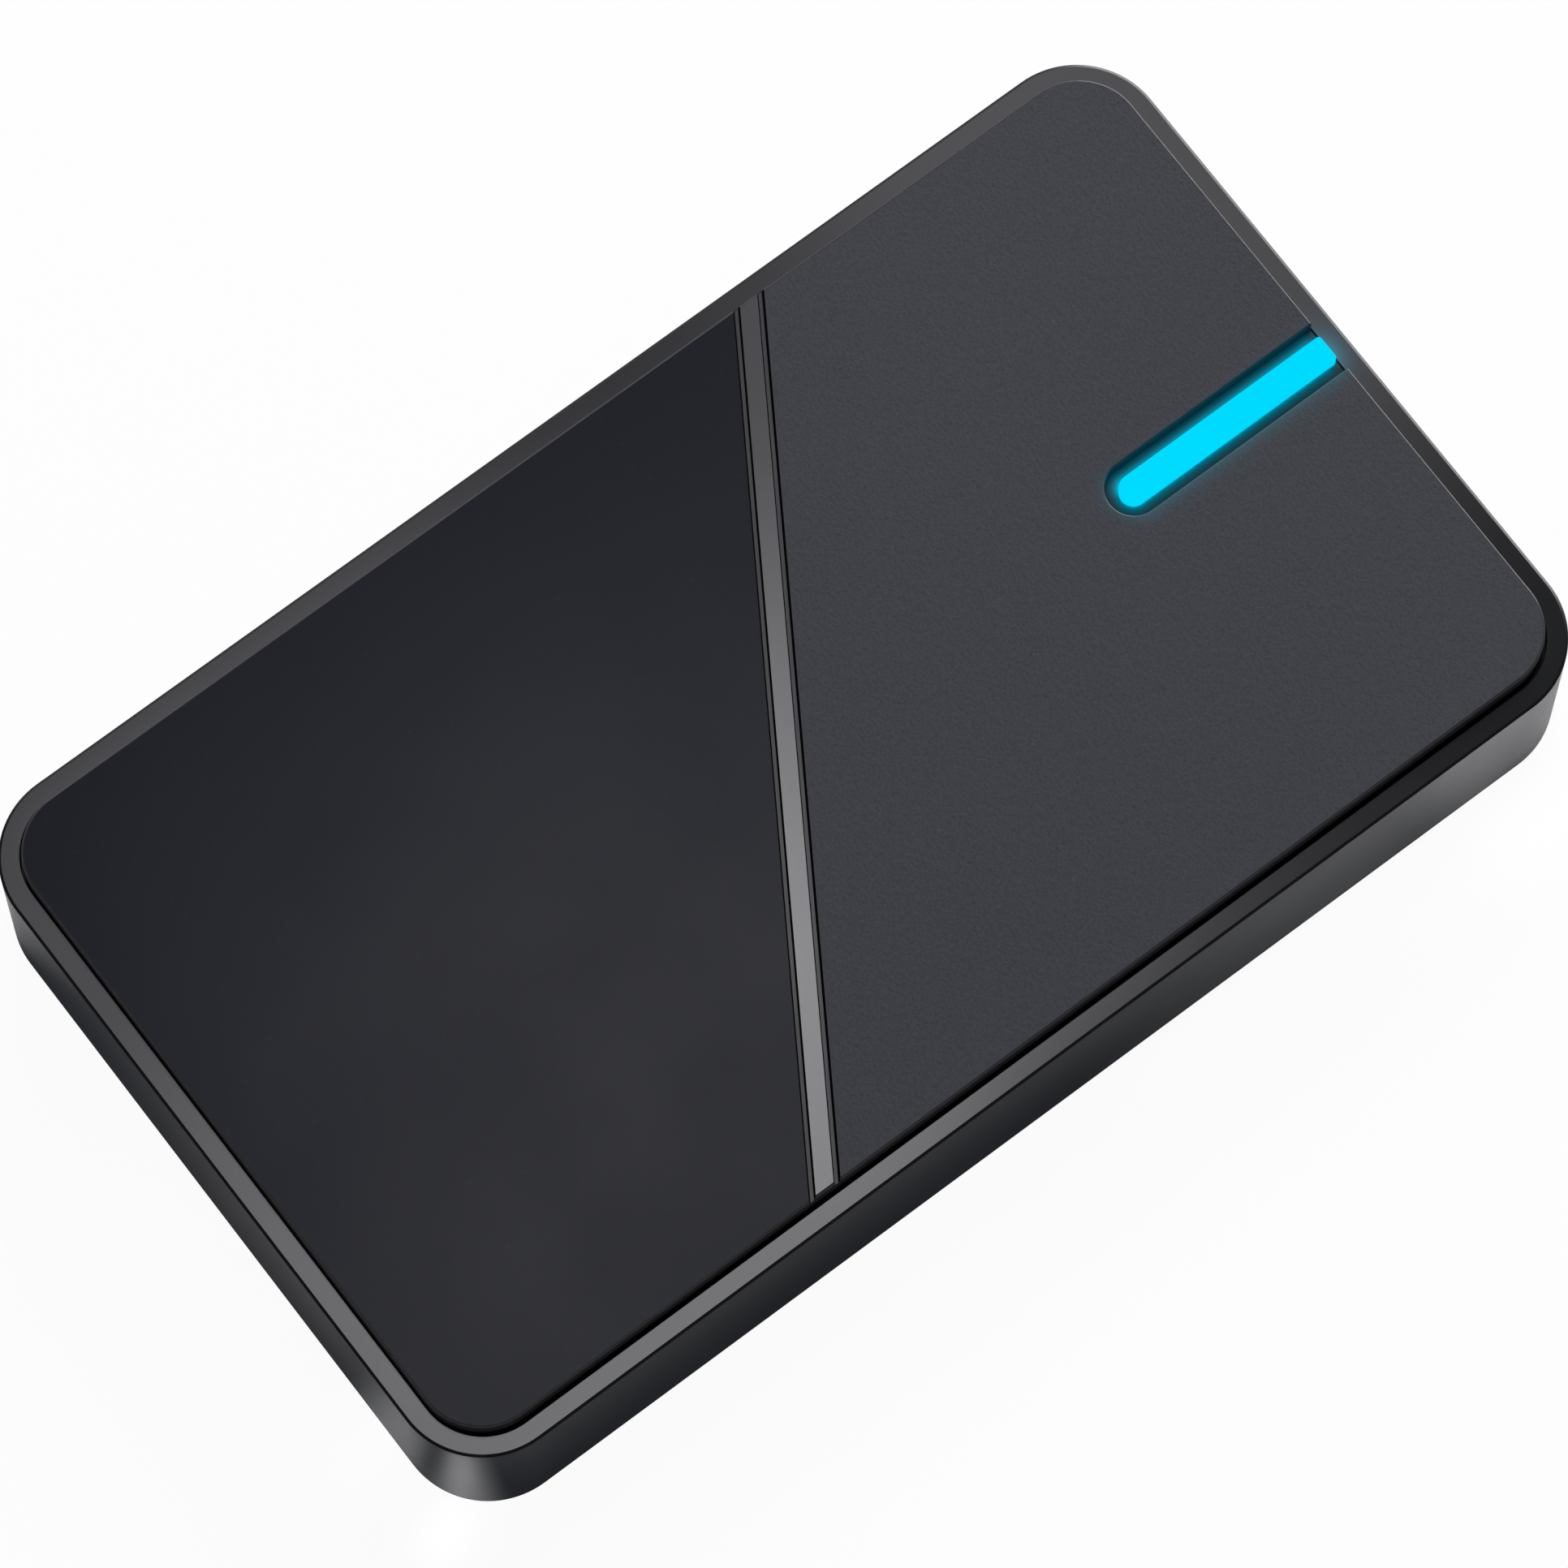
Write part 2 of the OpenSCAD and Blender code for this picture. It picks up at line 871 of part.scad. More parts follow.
// Contacts on both faces of the data socket's tongue
module data_contacts() {
    root_y = mouth_y - data_depth + shell_t + data_root;
    front_y = mouth_y - tongue_set_back - contact_set_back;
    upper_z = data_mid_z + data_tongue_t / 2;
    lower_z = data_mid_z - data_tongue_t / 2 - contact_t;
    color(gold_colour)
        for (z = [lower_z, upper_z])
            contact_row(data_x, z, data_contacts_each, data_pitch, data_contact_w, root_y, front_y);
}

// Chip that does the video work
module processor() {
    color(chip_colour)
        on_board(processor_x, processor_y, [processor_l, processor_l, processor_h]);
}

// Soft pad between the processor and its heat sink
module thermal_pad() {
    color(pad_colour)
        translate([0, 0, processor_h])
            on_board(processor_x, processor_y, [processor_l, processor_l, pad_t]);
}

// Finned heat sink on the pad
module heat_sink() {
    fin_step = (sink_l - fin_t) / (fin_count - 1);
    first_fin_x = processor_x - (sink_l - fin_t) / 2;
    color(sink_colour)
        translate([0, 0, processor_h + pad_t])
            union() {
                on_board(processor_x, processor_y, [sink_l, sink_l, sink_base]);
                for (i = [0 : fin_count - 1])
                    on_board(first_fin_x + i * fin_step, processor_y, [fin_t, sink_l, sink_h]);
            }
}

// Memory on both sides of the processor
module memory_chips() {
    color(chip_colour)
        for (side = [-1, 1])
            on_board(processor_x + side * memory_step, processor_y, [memory_l, memory_w, chip_h]);
}

// Chip behind the video input socket
module video_receiver() {
    color(chip_colour)
        on_board(video_in_x, chip_row_y, [receiver_l, receiver_l, chip_h]);
}

// Chip behind the video output socket
module video_driver() {
    color(chip_colour)
        on_board(video_out_x, chip_row_y, [driver_l, driver_l, chip_h]);
}

// Chip behind the data socket
module data_bridge() {
    color(chip_colour)
        on_board(data_x, chip_row_y, [bridge_l, bridge_l, chip_h]);
}

// Chip that holds the firmware
module flash_chip() {
    color(chip_colour)
        on_board(flash_x, processor_y, [flash_l, flash_w, chip_h]);
}

// Metal-can crystals beside the three socket chips
module crystals() {
    color(can_colour)
        for (x = [video_in_x, video_out_x, data_x])
            on_board(x + crystal_side, chip_row_y, [crystal_l, crystal_w, crystal_h]);
}

// Places of the power stages along Y
power_rows = [
    for (i = [0 : power_count - 1])
        processor_y + power_shift + (i - (power_count - 1) / 2) * power_pitch
];

// Row of inductors of the power stages
module power_inductors() {
    color(core_colour)
        for (y = power_rows)
            on_board(inductor_x, y, [inductor_l, inductor_l, inductor_h]);
}

// Regulator chips beside the inductors
module regulators() {
    color(chip_colour)
        for (y = power_rows)
            on_board(regulator_x, y, [regulator_l, regulator_w, chip_h]);
}

// Round capacitors of the power input
module bulk_capacitors() {
    color(can_colour)
        for (i = [0 : capacitor_count - 1])
            translate([capacitor_x, capacitor_y + i * capacitor_pitch, board_top])
                cylinder(r = capacitor_r, h = capacitor_h);
}

// Small capacitors in two rows in front of and behind the heat sink
module small_capacitors() {
    row_y = sink_l / 2 + small_gap;
    color(ceramic_colour)
        for (side = [-1, 1], i = [0 : small_count - 1])
            on_board(
                processor_x + (i - (small_count - 1) / 2) * small_pitch,
                processor_y + side * row_y,
                [small_w, small_l, small_h]
            );
}

case_frame();
top_cover();
left_panel();
right_panel();
accent_strip();
light_bar();
bottom_cover();
rubber_feet();
case_screws();
main_board();
board_screws();
status_leds();
video_in_shell();
video_in_tongue();
video_in_contacts();
video_out_shell();
video_out_tongue();
video_out_contacts();
data_shell();
data_tongue();
data_contacts();
processor();
thermal_pad();
heat_sink();
memory_chips();
video_receiver();
video_driver();
data_bridge();
flash_chip();
crystals();
power_inductors();
bulk_capacitors();
small_capacitors();
regulators();
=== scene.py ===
"""Looks of a video capture box: finished meshes, surface finishes, studio and camera.

Lengths are in metres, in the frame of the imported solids: +X towards the light bar,
+Y towards the sockets, +Z up, the origin on the surface that the feet stand on.
"""

import json
import logging
import math
from dataclasses import dataclass
from enum import Enum
from typing import Callable, ClassVar, Sequence, Union

import bmesh
import bpy
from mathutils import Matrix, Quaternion, Vector

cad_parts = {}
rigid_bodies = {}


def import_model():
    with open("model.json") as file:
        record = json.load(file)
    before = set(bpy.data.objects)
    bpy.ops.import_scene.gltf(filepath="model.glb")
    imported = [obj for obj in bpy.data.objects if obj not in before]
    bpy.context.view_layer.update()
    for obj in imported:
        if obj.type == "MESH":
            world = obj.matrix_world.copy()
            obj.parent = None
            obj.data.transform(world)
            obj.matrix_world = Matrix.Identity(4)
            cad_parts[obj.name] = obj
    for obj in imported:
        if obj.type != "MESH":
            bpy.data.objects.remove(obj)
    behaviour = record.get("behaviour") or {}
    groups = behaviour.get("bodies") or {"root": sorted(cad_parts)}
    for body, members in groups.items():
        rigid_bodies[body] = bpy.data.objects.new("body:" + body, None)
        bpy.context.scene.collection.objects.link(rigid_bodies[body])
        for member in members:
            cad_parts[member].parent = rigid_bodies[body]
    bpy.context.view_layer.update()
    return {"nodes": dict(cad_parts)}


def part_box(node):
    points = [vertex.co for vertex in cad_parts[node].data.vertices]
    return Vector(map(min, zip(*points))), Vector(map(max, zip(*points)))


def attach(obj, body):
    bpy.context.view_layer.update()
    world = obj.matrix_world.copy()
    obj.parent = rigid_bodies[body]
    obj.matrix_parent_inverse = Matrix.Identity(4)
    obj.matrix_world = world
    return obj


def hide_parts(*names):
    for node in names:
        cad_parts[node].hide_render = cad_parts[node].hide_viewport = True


for leftover in list(bpy.data.objects):
    bpy.data.objects.remove(leftover)
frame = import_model()

log = logging.getLogger("capture_box")

MM = 0.001
BODY = "root"
QUARTER = math.pi / 2
# Steps of a rounded edge, of a block's edge and of the light bar's round end
EDGE_STEPS = 5
BLOCK_STEPS = 2
BAR_STEPS = 16
# Bevel profile that makes a round edge
ROUND = 0.5
# How far a cutter reaches past what it cuts
MARGIN = 1.0 * MM
# Distance within which points and levels count as one
MERGE = 0.0001 * MM
# Edges that turn by more than this stay sharp
SHARP_DEG = 25.0
# Least upward part of a level face's normal
LEVEL_FACE = 0.99

Point = tuple[float, float]
Span = tuple[float, float]
Loop = list[Vector]
LoopMaker = Callable[[float, float], Loop]
Colour = tuple[float, float, float]
Wire = bpy.types.NodeSocket
Wires = bpy.types.NodeOutputs
Feed = Union[float, tuple, Wire]


class Operation(Enum):
    """Ways to combine two solids."""

    JOIN = "UNION"
    CUT = "DIFFERENCE"
    KEEP = "INTERSECT"


class Slot(Enum):
    """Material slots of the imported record."""

    CASE = "case_gloss"
    SMOOTH = "panel_smooth"
    GRAIN = "panel_grain"
    LIGHT = "light_guide"
    BASE = "base_plastic"
    RUBBER = "foot_rubber"
    SCREW = "screw_steel"
    SHELL = "socket_steel"
    INSULATOR = "socket_insulator"
    CONTACT = "contact_gold"


def edge_arc(radius: float) -> list[Point]:
    """Quarter circle that rounds an edge.

    Args:
        radius: Radius of the round.

    Returns:
        Pairs of the inset from one face and the drop from the other, from the first face on.
    """
    angles = [step / EDGE_STEPS * QUARTER for step in range(EDGE_STEPS + 1)]
    return [(radius * (1 - math.cos(angle)), radius * (1 - math.sin(angle))) for angle in angles]


@dataclass(frozen=True)
class Outline:
    """Rectangle with round corners; equal halves and radius make a disc."""

    half_x: float
    half_y: float
    radius: float
    x: float = 0.0
    y: float = 0.0
    steps: int = 10
    # Radius of the two corners on the right; below zero they have the same one as the others
    right_radius: float = -1.0

    def points(self, grow: float = 0.0) -> list[Point]:
        """Corner arcs in order, counter-clockwise.

        Args:
            grow: How far the outline is moved outwards.

        Returns:
            Flat points.
        """
        found = []
        for quarter, (side_x, side_y) in enumerate(((1, 1), (-1, 1), (-1, -1), (1, -1))):
            own = self.right_radius if side_x > 0 and self.right_radius >= 0 else self.radius
            bend = max(own + grow, 0.0)
            centre_x = self.x + side_x * (self.half_x + grow - bend)
            centre_y = self.y + side_y * (self.half_y + grow - bend)
            for step in range(self.steps + 1):
                angle = (quarter + step / self.steps) * QUARTER
                found.append((centre_x + bend * math.cos(angle), centre_y + bend * math.sin(angle)))
        return found

    def level(self, z: float, grow: float = 0.0) -> Loop:
        """The outline lying flat at a height."""
        return [Vector((x, y, z)) for x, y in self.points(grow)]

    def upright(self, y: float, grow: float = 0.0) -> Loop:
        """The outline standing in a plane across Y, its own y measured upwards."""
        return [Vector((x, y, z)) for x, z in self.points(grow)]

    def depth(self, point: Vector) -> float:
        """How far a point lies inside the outline, seen from above.

        Args:
            point: The point.

        Returns:
            The depth, below zero outside.
        """
        past_x = abs(point.x - self.x) - self.half_x + self.radius
        past_y = abs(point.y - self.y) - self.half_y + self.radius
        if past_x > 0 and past_y > 0:
            return self.radius - math.hypot(past_x, past_y)
        return self.radius - max(past_x, past_y)


def disc(radius: float, x: float = 0.0, y: float = 0.0) -> Outline:
    """Round outline."""
    return Outline(radius, radius, radius, x, y)


@dataclass(frozen=True)
class Arch:
    """Upright opening with square feet and two round upper corners."""

    x: float
    half_w: float
    low_z: float
    high_z: float
    radius: float
    steps: int = 8

    def upright(self, y: float, grow: float = 0.0) -> Loop:
        """The opening's outline across Y.

        Args:
            y: Place of the plane.
            grow: How far the sides and the top are moved outwards.

        Returns:
            Points from the right foot over the top to the left foot.
        """
        half = self.half_w + grow
        bend = self.radius + grow
        top = self.high_z + grow
        found = [Vector((self.x + half, y, self.low_z))]
        for quarter, side in enumerate((1, -1)):
            for step in range(self.steps + 1):
                angle = (quarter + step / self.steps) * QUARTER
                across = self.x + side * (half - bend) + bend * math.cos(angle)
                found.append(Vector((across, y, top - bend + bend * math.sin(angle))))
        found.append(Vector((self.x - half, y, self.low_z)))
        return found


def soften(corners: Sequence[Point], radius: float, steps: int = 4) -> list[Point]:
    """Round the corners of a convex outline.

    Args:
        corners: The outline's corners in order.
        radius: Radius of each round.
        steps: Steps in each round.

    Returns:
        The outline with an arc in place of each corner.
    """
    found = []
    for i, corner in enumerate(corners):
        here = Vector(corner)
        back = (Vector(corners[i - 1]) - here).normalized()
        ahead = (Vector(corners[(i + 1) % len(corners)]) - here).normalized()
        half = back.angle(ahead) / 2
        centre = here + (back + ahead).normalized() * radius / math.sin(half)
        first = here + back * radius / math.tan(half) - centre
        last = here + ahead * radius / math.tan(half) - centre
        for step in range(steps + 1):
            share = step / steps
            arm = (first * (1 - share) + last * share).normalized() * radius
            found.append(tuple(centre + arm))
    return found


def place_object(name: str, data: bpy.types.ID) -> bpy.types.Object:
    """Put a new object into the scene.

    Args:
        name: The object's name.
        data: Its mesh, lamp or camera.

    Returns:
        The new object.
    """
    made = bpy.data.objects.new(name, data)
    bpy.context.scene.collection.objects.link(made)
    return made


class Solid:
    """Closed mesh that is drawn from loops of points."""

    def __init__(self) -> None:
        """Start with an empty mesh."""
        self.mesh = bmesh.new()

    def loft(self, loops: Sequence[Loop], ring: bool = False) -> "Solid":
        """Skin a stack of loops that have the same number of points.

        Args:
            loops: The loops in order, each closed on itself.
            ring: True joins the last loop to the first, False caps both.

        Returns:
            This solid.
        """
        rows = [[self.mesh.verts.new(point) for point in loop] for loop in loops]
        pairs = list(zip(rows, rows[1:]))
        if ring:
            pairs.append((rows[-1], rows[0]))
        else:
            self.mesh.faces.new(list(reversed(rows[0])))
            self.mesh.faces.new(rows[-1])
        for lower, upper in pairs:
            for i in range(len(lower)):
                j = (i + 1) % len(lower)
                self.mesh.faces.new((lower[i], lower[j], upper[j], upper[i]))
        return self

    def block(self, low: Sequence[float], high: Sequence[float], edge: float = 0.0) -> "Solid":
        """Add a block with rounded edges.

        Args:
            low: Lowest corner.
            high: Highest corner.
            edge: Radius of its edges.

        Returns:
            This solid.
        """
        centre = (Vector(low) + Vector(high)) / 2
        size = Vector(high) - Vector(low)
        verts = bmesh.ops.create_cube(self.mesh, size=1.0)["verts"]
        for vert in verts:
            vert.co = centre + vert.co * size
        if edge > 0:
            edges = list({side for vert in verts for side in vert.link_edges})
            bmesh.ops.bevel(
                self.mesh, geom=edges, offset=edge, segments=BLOCK_STEPS, profile=ROUND, affect="EDGES",
            )
        return self

    def flared(self, loop_at: LoopMaker, face: float, depth: float, edge: float) -> "Solid":
        """Add a cutter that leaves a rounded edge where it enters a face.

        Args:
            loop_at: Gives the cutter's loop at a place along its axis, grown by a length.
            face: Place of the face along that axis.
            depth: How far the cutter goes in; its sign is the direction.
            edge: Radius of the edge that it leaves.

        Returns:
            This solid.
        """
        inward = math.copysign(1.0, depth)
        loops = [loop_at(face - inward * MARGIN, edge)]
        loops += [loop_at(face + inward * inset, drop) for inset, drop in edge_arc(edge)]
        loops.append(loop_at(face + depth, 0.0))
        return self.loft(loops)

    def pegs(self, places: Sequence[Point], radius: float, low: float, high: float) -> "Solid":
        """Add an upright round peg at each place.

        Args:
            places: Where the pegs stand.
            radius: Their radius.
            low: Height of their lower ends.
            high: Height of their upper ends.

        Returns:
            This solid.
        """
        for x, y in places:
            peg = disc(radius, x, y)
            self.loft([peg.level(low), peg.level(high)])
        return self

    def piece(self, name: str) -> bpy.types.Object:
        """Turn the mesh into an object of the scene.

        Args:
            name: The object's name.

        Returns:
            The new object.
        """
        bmesh.ops.remove_doubles(self.mesh, verts=self.mesh.verts, dist=MERGE)
        bmesh.ops.recalc_face_normals(self.mesh, faces=self.mesh.faces)
        data = bpy.data.meshes.new(name)
        self.mesh.to_mesh(data)
        self.mesh.free()
        return place_object(name, data)


def combine(target: bpy.types.Object, other: Solid, operation: Operation) -> None:
    """Combine a piece with another solid, which is used up.

    Args:
        target: The piece that changes.
        other: The solid that joins it, cuts it or bounds it.
        operation: What is done.
    """
    tool = other.piece("tool")
    modifier = target.modifiers.new("combine", "BOOLEAN")
    modifier.operation = operation.value
    modifier.solver = "EXACT"
    modifier.object = tool
    graph = bpy.context.evaluated_depsgraph_get()
    result = bpy.data.meshes.new_from_object(target.evaluated_get(graph))
    target.modifiers.clear()
    spent = target.data
    target.data = result
    bpy.data.meshes.remove(spent)
    bpy.data.objects.remove(tool)
    result.name = target.name


def shade(piece: bpy.types.Object) -> None:
    """Shade rounds smoothly and keep level faces level.

    Args:
        piece: The piece.
    """
    data = piece.data
    data.polygons.foreach_set("use_smooth", [True] * len(data.polygons))
    data.set_sharp_from_angle(angle=math.radians(SHARP_DEG))
    modifier = piece.modifiers.new("even_shading", "WEIGHTED_NORMAL")
    modifier.keep_sharp = True


def dress(piece: bpy.types.Object, *finishes: "Finish") -> None:
    """Give a piece the materials of its finishes, in order.

    Args:
        piece: The piece or solid.
        finishes: Its finishes; every face starts with the first one.
    """
    piece.data.materials.clear()
    for finish in finishes:
        piece.data.materials.append(finish.material())


def dress_level(piece: bpy.types.Object, z: float, index: int) -> None:
    """Give the upward faces at one height a material of the piece.

    Args:
        piece: The piece.
        z: Height of the faces.
        index: Place of the material in the piece's list.
    """
    for face in piece.data.polygons:
        if face.normal.z > LEVEL_FACE and abs(face.center.z - z) < MERGE:
            face.material_index = index


def dress_border(piece: bpy.types.Object, outline: Outline, width: float, index: int) -> None:
    """Give the faces along an outline a material of the piece.

    Args:
        piece: The piece.
        outline: The outline that the faces follow.
        width: How far in from the outline they reach.
        index: Place of the material in the piece's list.
    """
    for face in piece.data.polygons:
        if outline.depth(face.center) < width:
            face.material_index = index


def seat(piece: bpy.types.Object, slot: Slot, *nodes: str) -> None:
    """Let a piece ride on the box and stand for its solids.

    Args:
        piece: The piece.
        slot: The record's slot that its finish belongs to; not used.
        nodes: The solids that it stands for.
    """
    shade(piece)
    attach(piece, BODY)
    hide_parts(*nodes)
    log.info("built %s in place of %s", piece.name, ", ".join(nodes))


@dataclass(frozen=True)
class Layout:
    """Outlines and levels that several sub-assemblies share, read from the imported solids."""

    corner_r: ClassVar[float] = 7.4 * MM
    opening_r: ClassVar[float] = 5.4 * MM
    corner_steps: ClassVar[int] = 24
    seam: ClassVar[float] = 0.15 * MM
    boss_inset: ClassVar[float] = 5.4 * MM
    case: Outline
    opening: Outline
    base: Outline
    plate: Outline
    base_z: float
    rim_z: float
    plate_top: float
    boss_x: float
    boss_y: float

    @classmethod
    def read(cls) -> "Layout":
        """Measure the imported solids.

        Returns:
            The layout.
        """
        case_low, case_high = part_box("case_frame")
        base_low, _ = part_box("bottom_cover")
        panel_low, panel_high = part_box("left_panel")
        open_x = cls.seam - base_low.x
        open_y = cls.seam - base_low.y
        plate_r = cls.opening_r - (open_x + panel_low.x)
        steps = cls.corner_steps
        return cls(
            case=Outline(case_high.x, case_high.y, cls.corner_r, steps=steps),
            opening=Outline(open_x, open_y, cls.opening_r, steps=steps),
            base=Outline(-base_low.x, -base_low.y, cls.opening_r - cls.seam, steps=steps),
            plate=Outline(-panel_low.x, panel_high.y, plate_r, steps=steps),
            base_z=case_low.z,
            rim_z=case_high.z,
            plate_top=panel_high.z,
            boss_x=open_x - cls.boss_inset,
            boss_y=open_y - cls.boss_inset,
        )

    def corners(self, inset_x: float = 0.0, inset_y: float = 0.0) -> list[Point]:
        """Four places, each set in from the screw bosses.

        Args:
            inset_x: How far they are set in along X.
            inset_y: How far they are set in along Y.

        Returns:
            The places, one in each corner.
        """
        x = self.boss_x - inset_x
        y = self.boss_y - inset_y
        return [(side_x * x, side_y * y) for side_x in (-1, 1) for side_y in (-1, 1)]


class Graph:
    """Node tree that is written as a list of calls."""

    def __init__(self, tree: bpy.types.NodeTree) -> None:
        """Work on one tree."""
        self.tree = tree

    def feed(self, socket: Wire, value: Feed) -> None:
        """Link a socket to another one, or set its own value.

        Args:
            socket: The input.
            value: The output that it is linked to, or its value.
        """
        if isinstance(value, Wire):
            self.tree.links.new(value, socket)
        else:
            socket.default_value = value

    def add(self, kind: str, feeds: dict[Union[str, int], Feed], **settings: object) -> bpy.types.Node:
        """Add a node.

        Args:
            kind: The node's type without its usual prefix.
            feeds: What goes into its inputs, by name or place.
            settings: Its own properties.

        Returns:
            The node.
        """
        node = self.tree.nodes.new("ShaderNode" + kind)
        for name, value in settings.items():
            setattr(node, name, value)
        for key, value in feeds.items():
            self.feed(node.inputs[key], value)
        return node

    def math(self, operation: str, first: Feed, second: Feed = 0.0, clamp: bool = False) -> Wire:
        """Result of a sum on one or two values."""
        node = self.add("Math", {0: first, 1: second}, operation=operation, use_clamp=clamp)
        return node.outputs[0]

    def vector(self, operation: str, first: Feed, second: Feed = (0.0, 0.0, 0.0)) -> Wires:
        """Results of a sum on one or two vectors."""
        return self.add("VectorMath", {0: first, 1: second}, operation=operation).outputs

    def axes(self, vector: Feed) -> Wires:
        """The three parts of a vector, by axis."""
        return self.add("SeparateXYZ", {0: vector}).outputs

    def noise(self, place: Feed, scale: Feed, detail: float) -> Wire:
        """Soft noise at a place."""
        return self.add("TexNoise", {"Vector": place, "Scale": scale, "Detail": detail}).outputs[0]

    def bump(self, depth: float, height: Wire) -> Wire:
        """Normal of a surface with a relief of a depth."""
        return self.add("Bump", {"Distance": depth, "Height": height}).outputs[0]

    def normal_axes(self) -> Wires:
        """The three parts of the surface's normal, by axis."""
        return self.axes(self.add("NewGeometry", {}).outputs["Normal"])

    def spread(self, value: Feed, low: Feed, high: Feed, to_low: Feed = 0.0, to_high: Feed = 1.0) -> Wire:
        """Value moved from one range to another, with soft ends.

        Args:
            value: The value.
            low: Start of its range.
            high: End of its range.
            to_low: Result at the start.
            to_high: Result at the end.

        Returns:
            The result.
        """
        keys = ("Value", "From Min", "From Max", "To Min", "To Max")
        feeds = dict(zip(keys, (value, low, high, to_low, to_high)))
        return self.add("MapRange", feeds, interpolation_type="SMOOTHSTEP").outputs[0]

    def blend(self, share: Feed, first: Feed, second: Feed) -> Wire:
        """Two colours mixed by a share."""
        return self.add("Mix", {0: share, 6: first, 7: second}, data_type="RGBA").outputs[2]

    def scaled(self, place: Wire) -> Wire:
        """A place in metres turned into millimetres."""
        return self.add("VectorMath", {0: place, "Scale": 1 / MM}, operation="SCALE").outputs[0]

    def millimetres(self) -> Wire:
        """Place on the object in millimetres."""
        return self.scaled(self.add("TexCoord", {}).outputs["Object"])


def blank_graph(owner: Union[bpy.types.Material, bpy.types.Light, bpy.types.World]) -> Graph:
    """Give a material, a lamp or the world an empty node tree.

    Args:
        owner: What gets the tree.

    Returns:
        The tree, ready to be written.
    """
    owner.use_nodes = True
    owner.node_tree.nodes.clear()
    return Graph(owner.node_tree)


class Effect:
    """Shader node group that several finishes place with their own values."""

    title: ClassVar[str] = ""
    entries: ClassVar[dict[str, float]] = {}
    results: ClassVar[dict[str, str]] = {}

    @classmethod
    def tree(cls) -> bpy.types.NodeTree:
        """The group, built when it is first asked for.

        Returns:
            The group's tree.
        """
        known = bpy.data.node_groups.get(cls.title)
        if known:
            return known
        made = bpy.data.node_groups.new(cls.title, "ShaderNodeTree")
        for name, value in cls.entries.items():
            socket = made.interface.new_socket(name, in_out="INPUT", socket_type="NodeSocketFloat")
            socket.default_value = value
        for name, kind in cls.results.items():
            made.interface.new_socket(name, in_out="OUTPUT", socket_type=kind)
        graph = Graph(made)
        entry = made.nodes.new("NodeGroupInput")
        leave = made.nodes.new("NodeGroupOutput")
        for name, value in cls.wire(graph, entry.outputs).items():
            graph.feed(leave.inputs[name], value)
        return made

    @classmethod
    def wire(cls, graph: Graph, entry: Wires) -> dict[str, Wire]:
        """Build the inside of the group; each effect has its own."""
        raise NotImplementedError

    @classmethod
    def place(cls, graph: Graph, **values: float) -> Wires:
        """Put the group into a material.

        Args:
            graph: The material's tree.
            values: The group's inputs, with an underscore for each space.

        Returns:
            The group's outputs.
        """
        node = graph.tree.nodes.new("ShaderNodeGroup")
        node.node_tree = cls.tree()
        for name, value in values.items():
            node.inputs[name.replace("_", " ")].default_value = value
        return node.outputs


class SkinGrain(Effect):
    """Fine pebbled skin of a textured mould."""

    title = "skin_grain"
    entries = {"per mm": 4.0}
    results = {"height": "NodeSocketFloat", "tone": "NodeSocketFloat"}
    cell_share: ClassVar[float] = -0.6
    detail: ClassVar[float] = 3.0
    tone_range: ClassVar[Span] = (-0.1, 0.5)

    @classmethod
    def wire(cls, graph: Graph, entry: Wires) -> dict[str, Wire]:
        """Mix rounded cells with a finer noise.

        Args:
            graph: The group's tree.
            entry: The group's inputs.

        Returns:
            What the group puts out, by output.
        """
        place = graph.millimetres()
        scale = entry["per mm"]
        cells = graph.add("TexVoronoi", {"Vector": place, "Scale": scale}, feature="SMOOTH_F1")
        pebbles = graph.math("MULTIPLY", cells.outputs["Distance"], cls.cell_share)
        height = graph.math("ADD", pebbles, graph.noise(place, scale, cls.detail))
        return {"height": height, "tone": graph.spread(height, *cls.tone_range)}


class SlowDrift(Effect):
    """Slow change of a value across a surface."""

    title = "slow_drift"
    entries = {"span mm": 20.0, "low": 0.0, "high": 1.0}
    results = {"value": "NodeSocketFloat"}
    detail: ClassVar[float] = 4.0
    noise_range: ClassVar[Span] = (0.3, 0.7)

    @classmethod
    def wire(cls, graph: Graph, entry: Wires) -> dict[str, Wire]:
        """Stretch a soft noise between the two ends.

        Args:
            graph: The group's tree.
            entry: The group's inputs.

        Returns:
            What the group puts out, by output.
        """
        scale = graph.math("DIVIDE", 1.0, entry["span mm"])
        noise = graph.noise(graph.millimetres(), scale, cls.detail)
        return {"value": graph.spread(noise, *cls.noise_range, entry["low"], entry["high"])}


class EdgePolish(Effect):
    """Mask of the rounded edges, which handling polishes."""

    title = "edge_polish"
    results = {"mask": "NodeSocketFloat"}
    flat_range: ClassVar[Span] = (0.99, 0.85)

    @classmethod
    def wire(cls, graph: Graph, entry: Wires) -> dict[str, Wire]:
        """Find the places that look neither along X, nor along Y, nor along Z.

        Args:
            graph: The group's tree.
            entry: The group's inputs; not used.

        Returns:
            What the group puts out, by output.
        """
        parts = [graph.math("ABSOLUTE", part) for part in graph.normal_axes()]
        largest = graph.math("MAXIMUM", graph.math("MAXIMUM", parts[0], parts[1]), parts[2])
        return {"mask": graph.spread(largest, *cls.flat_range)}


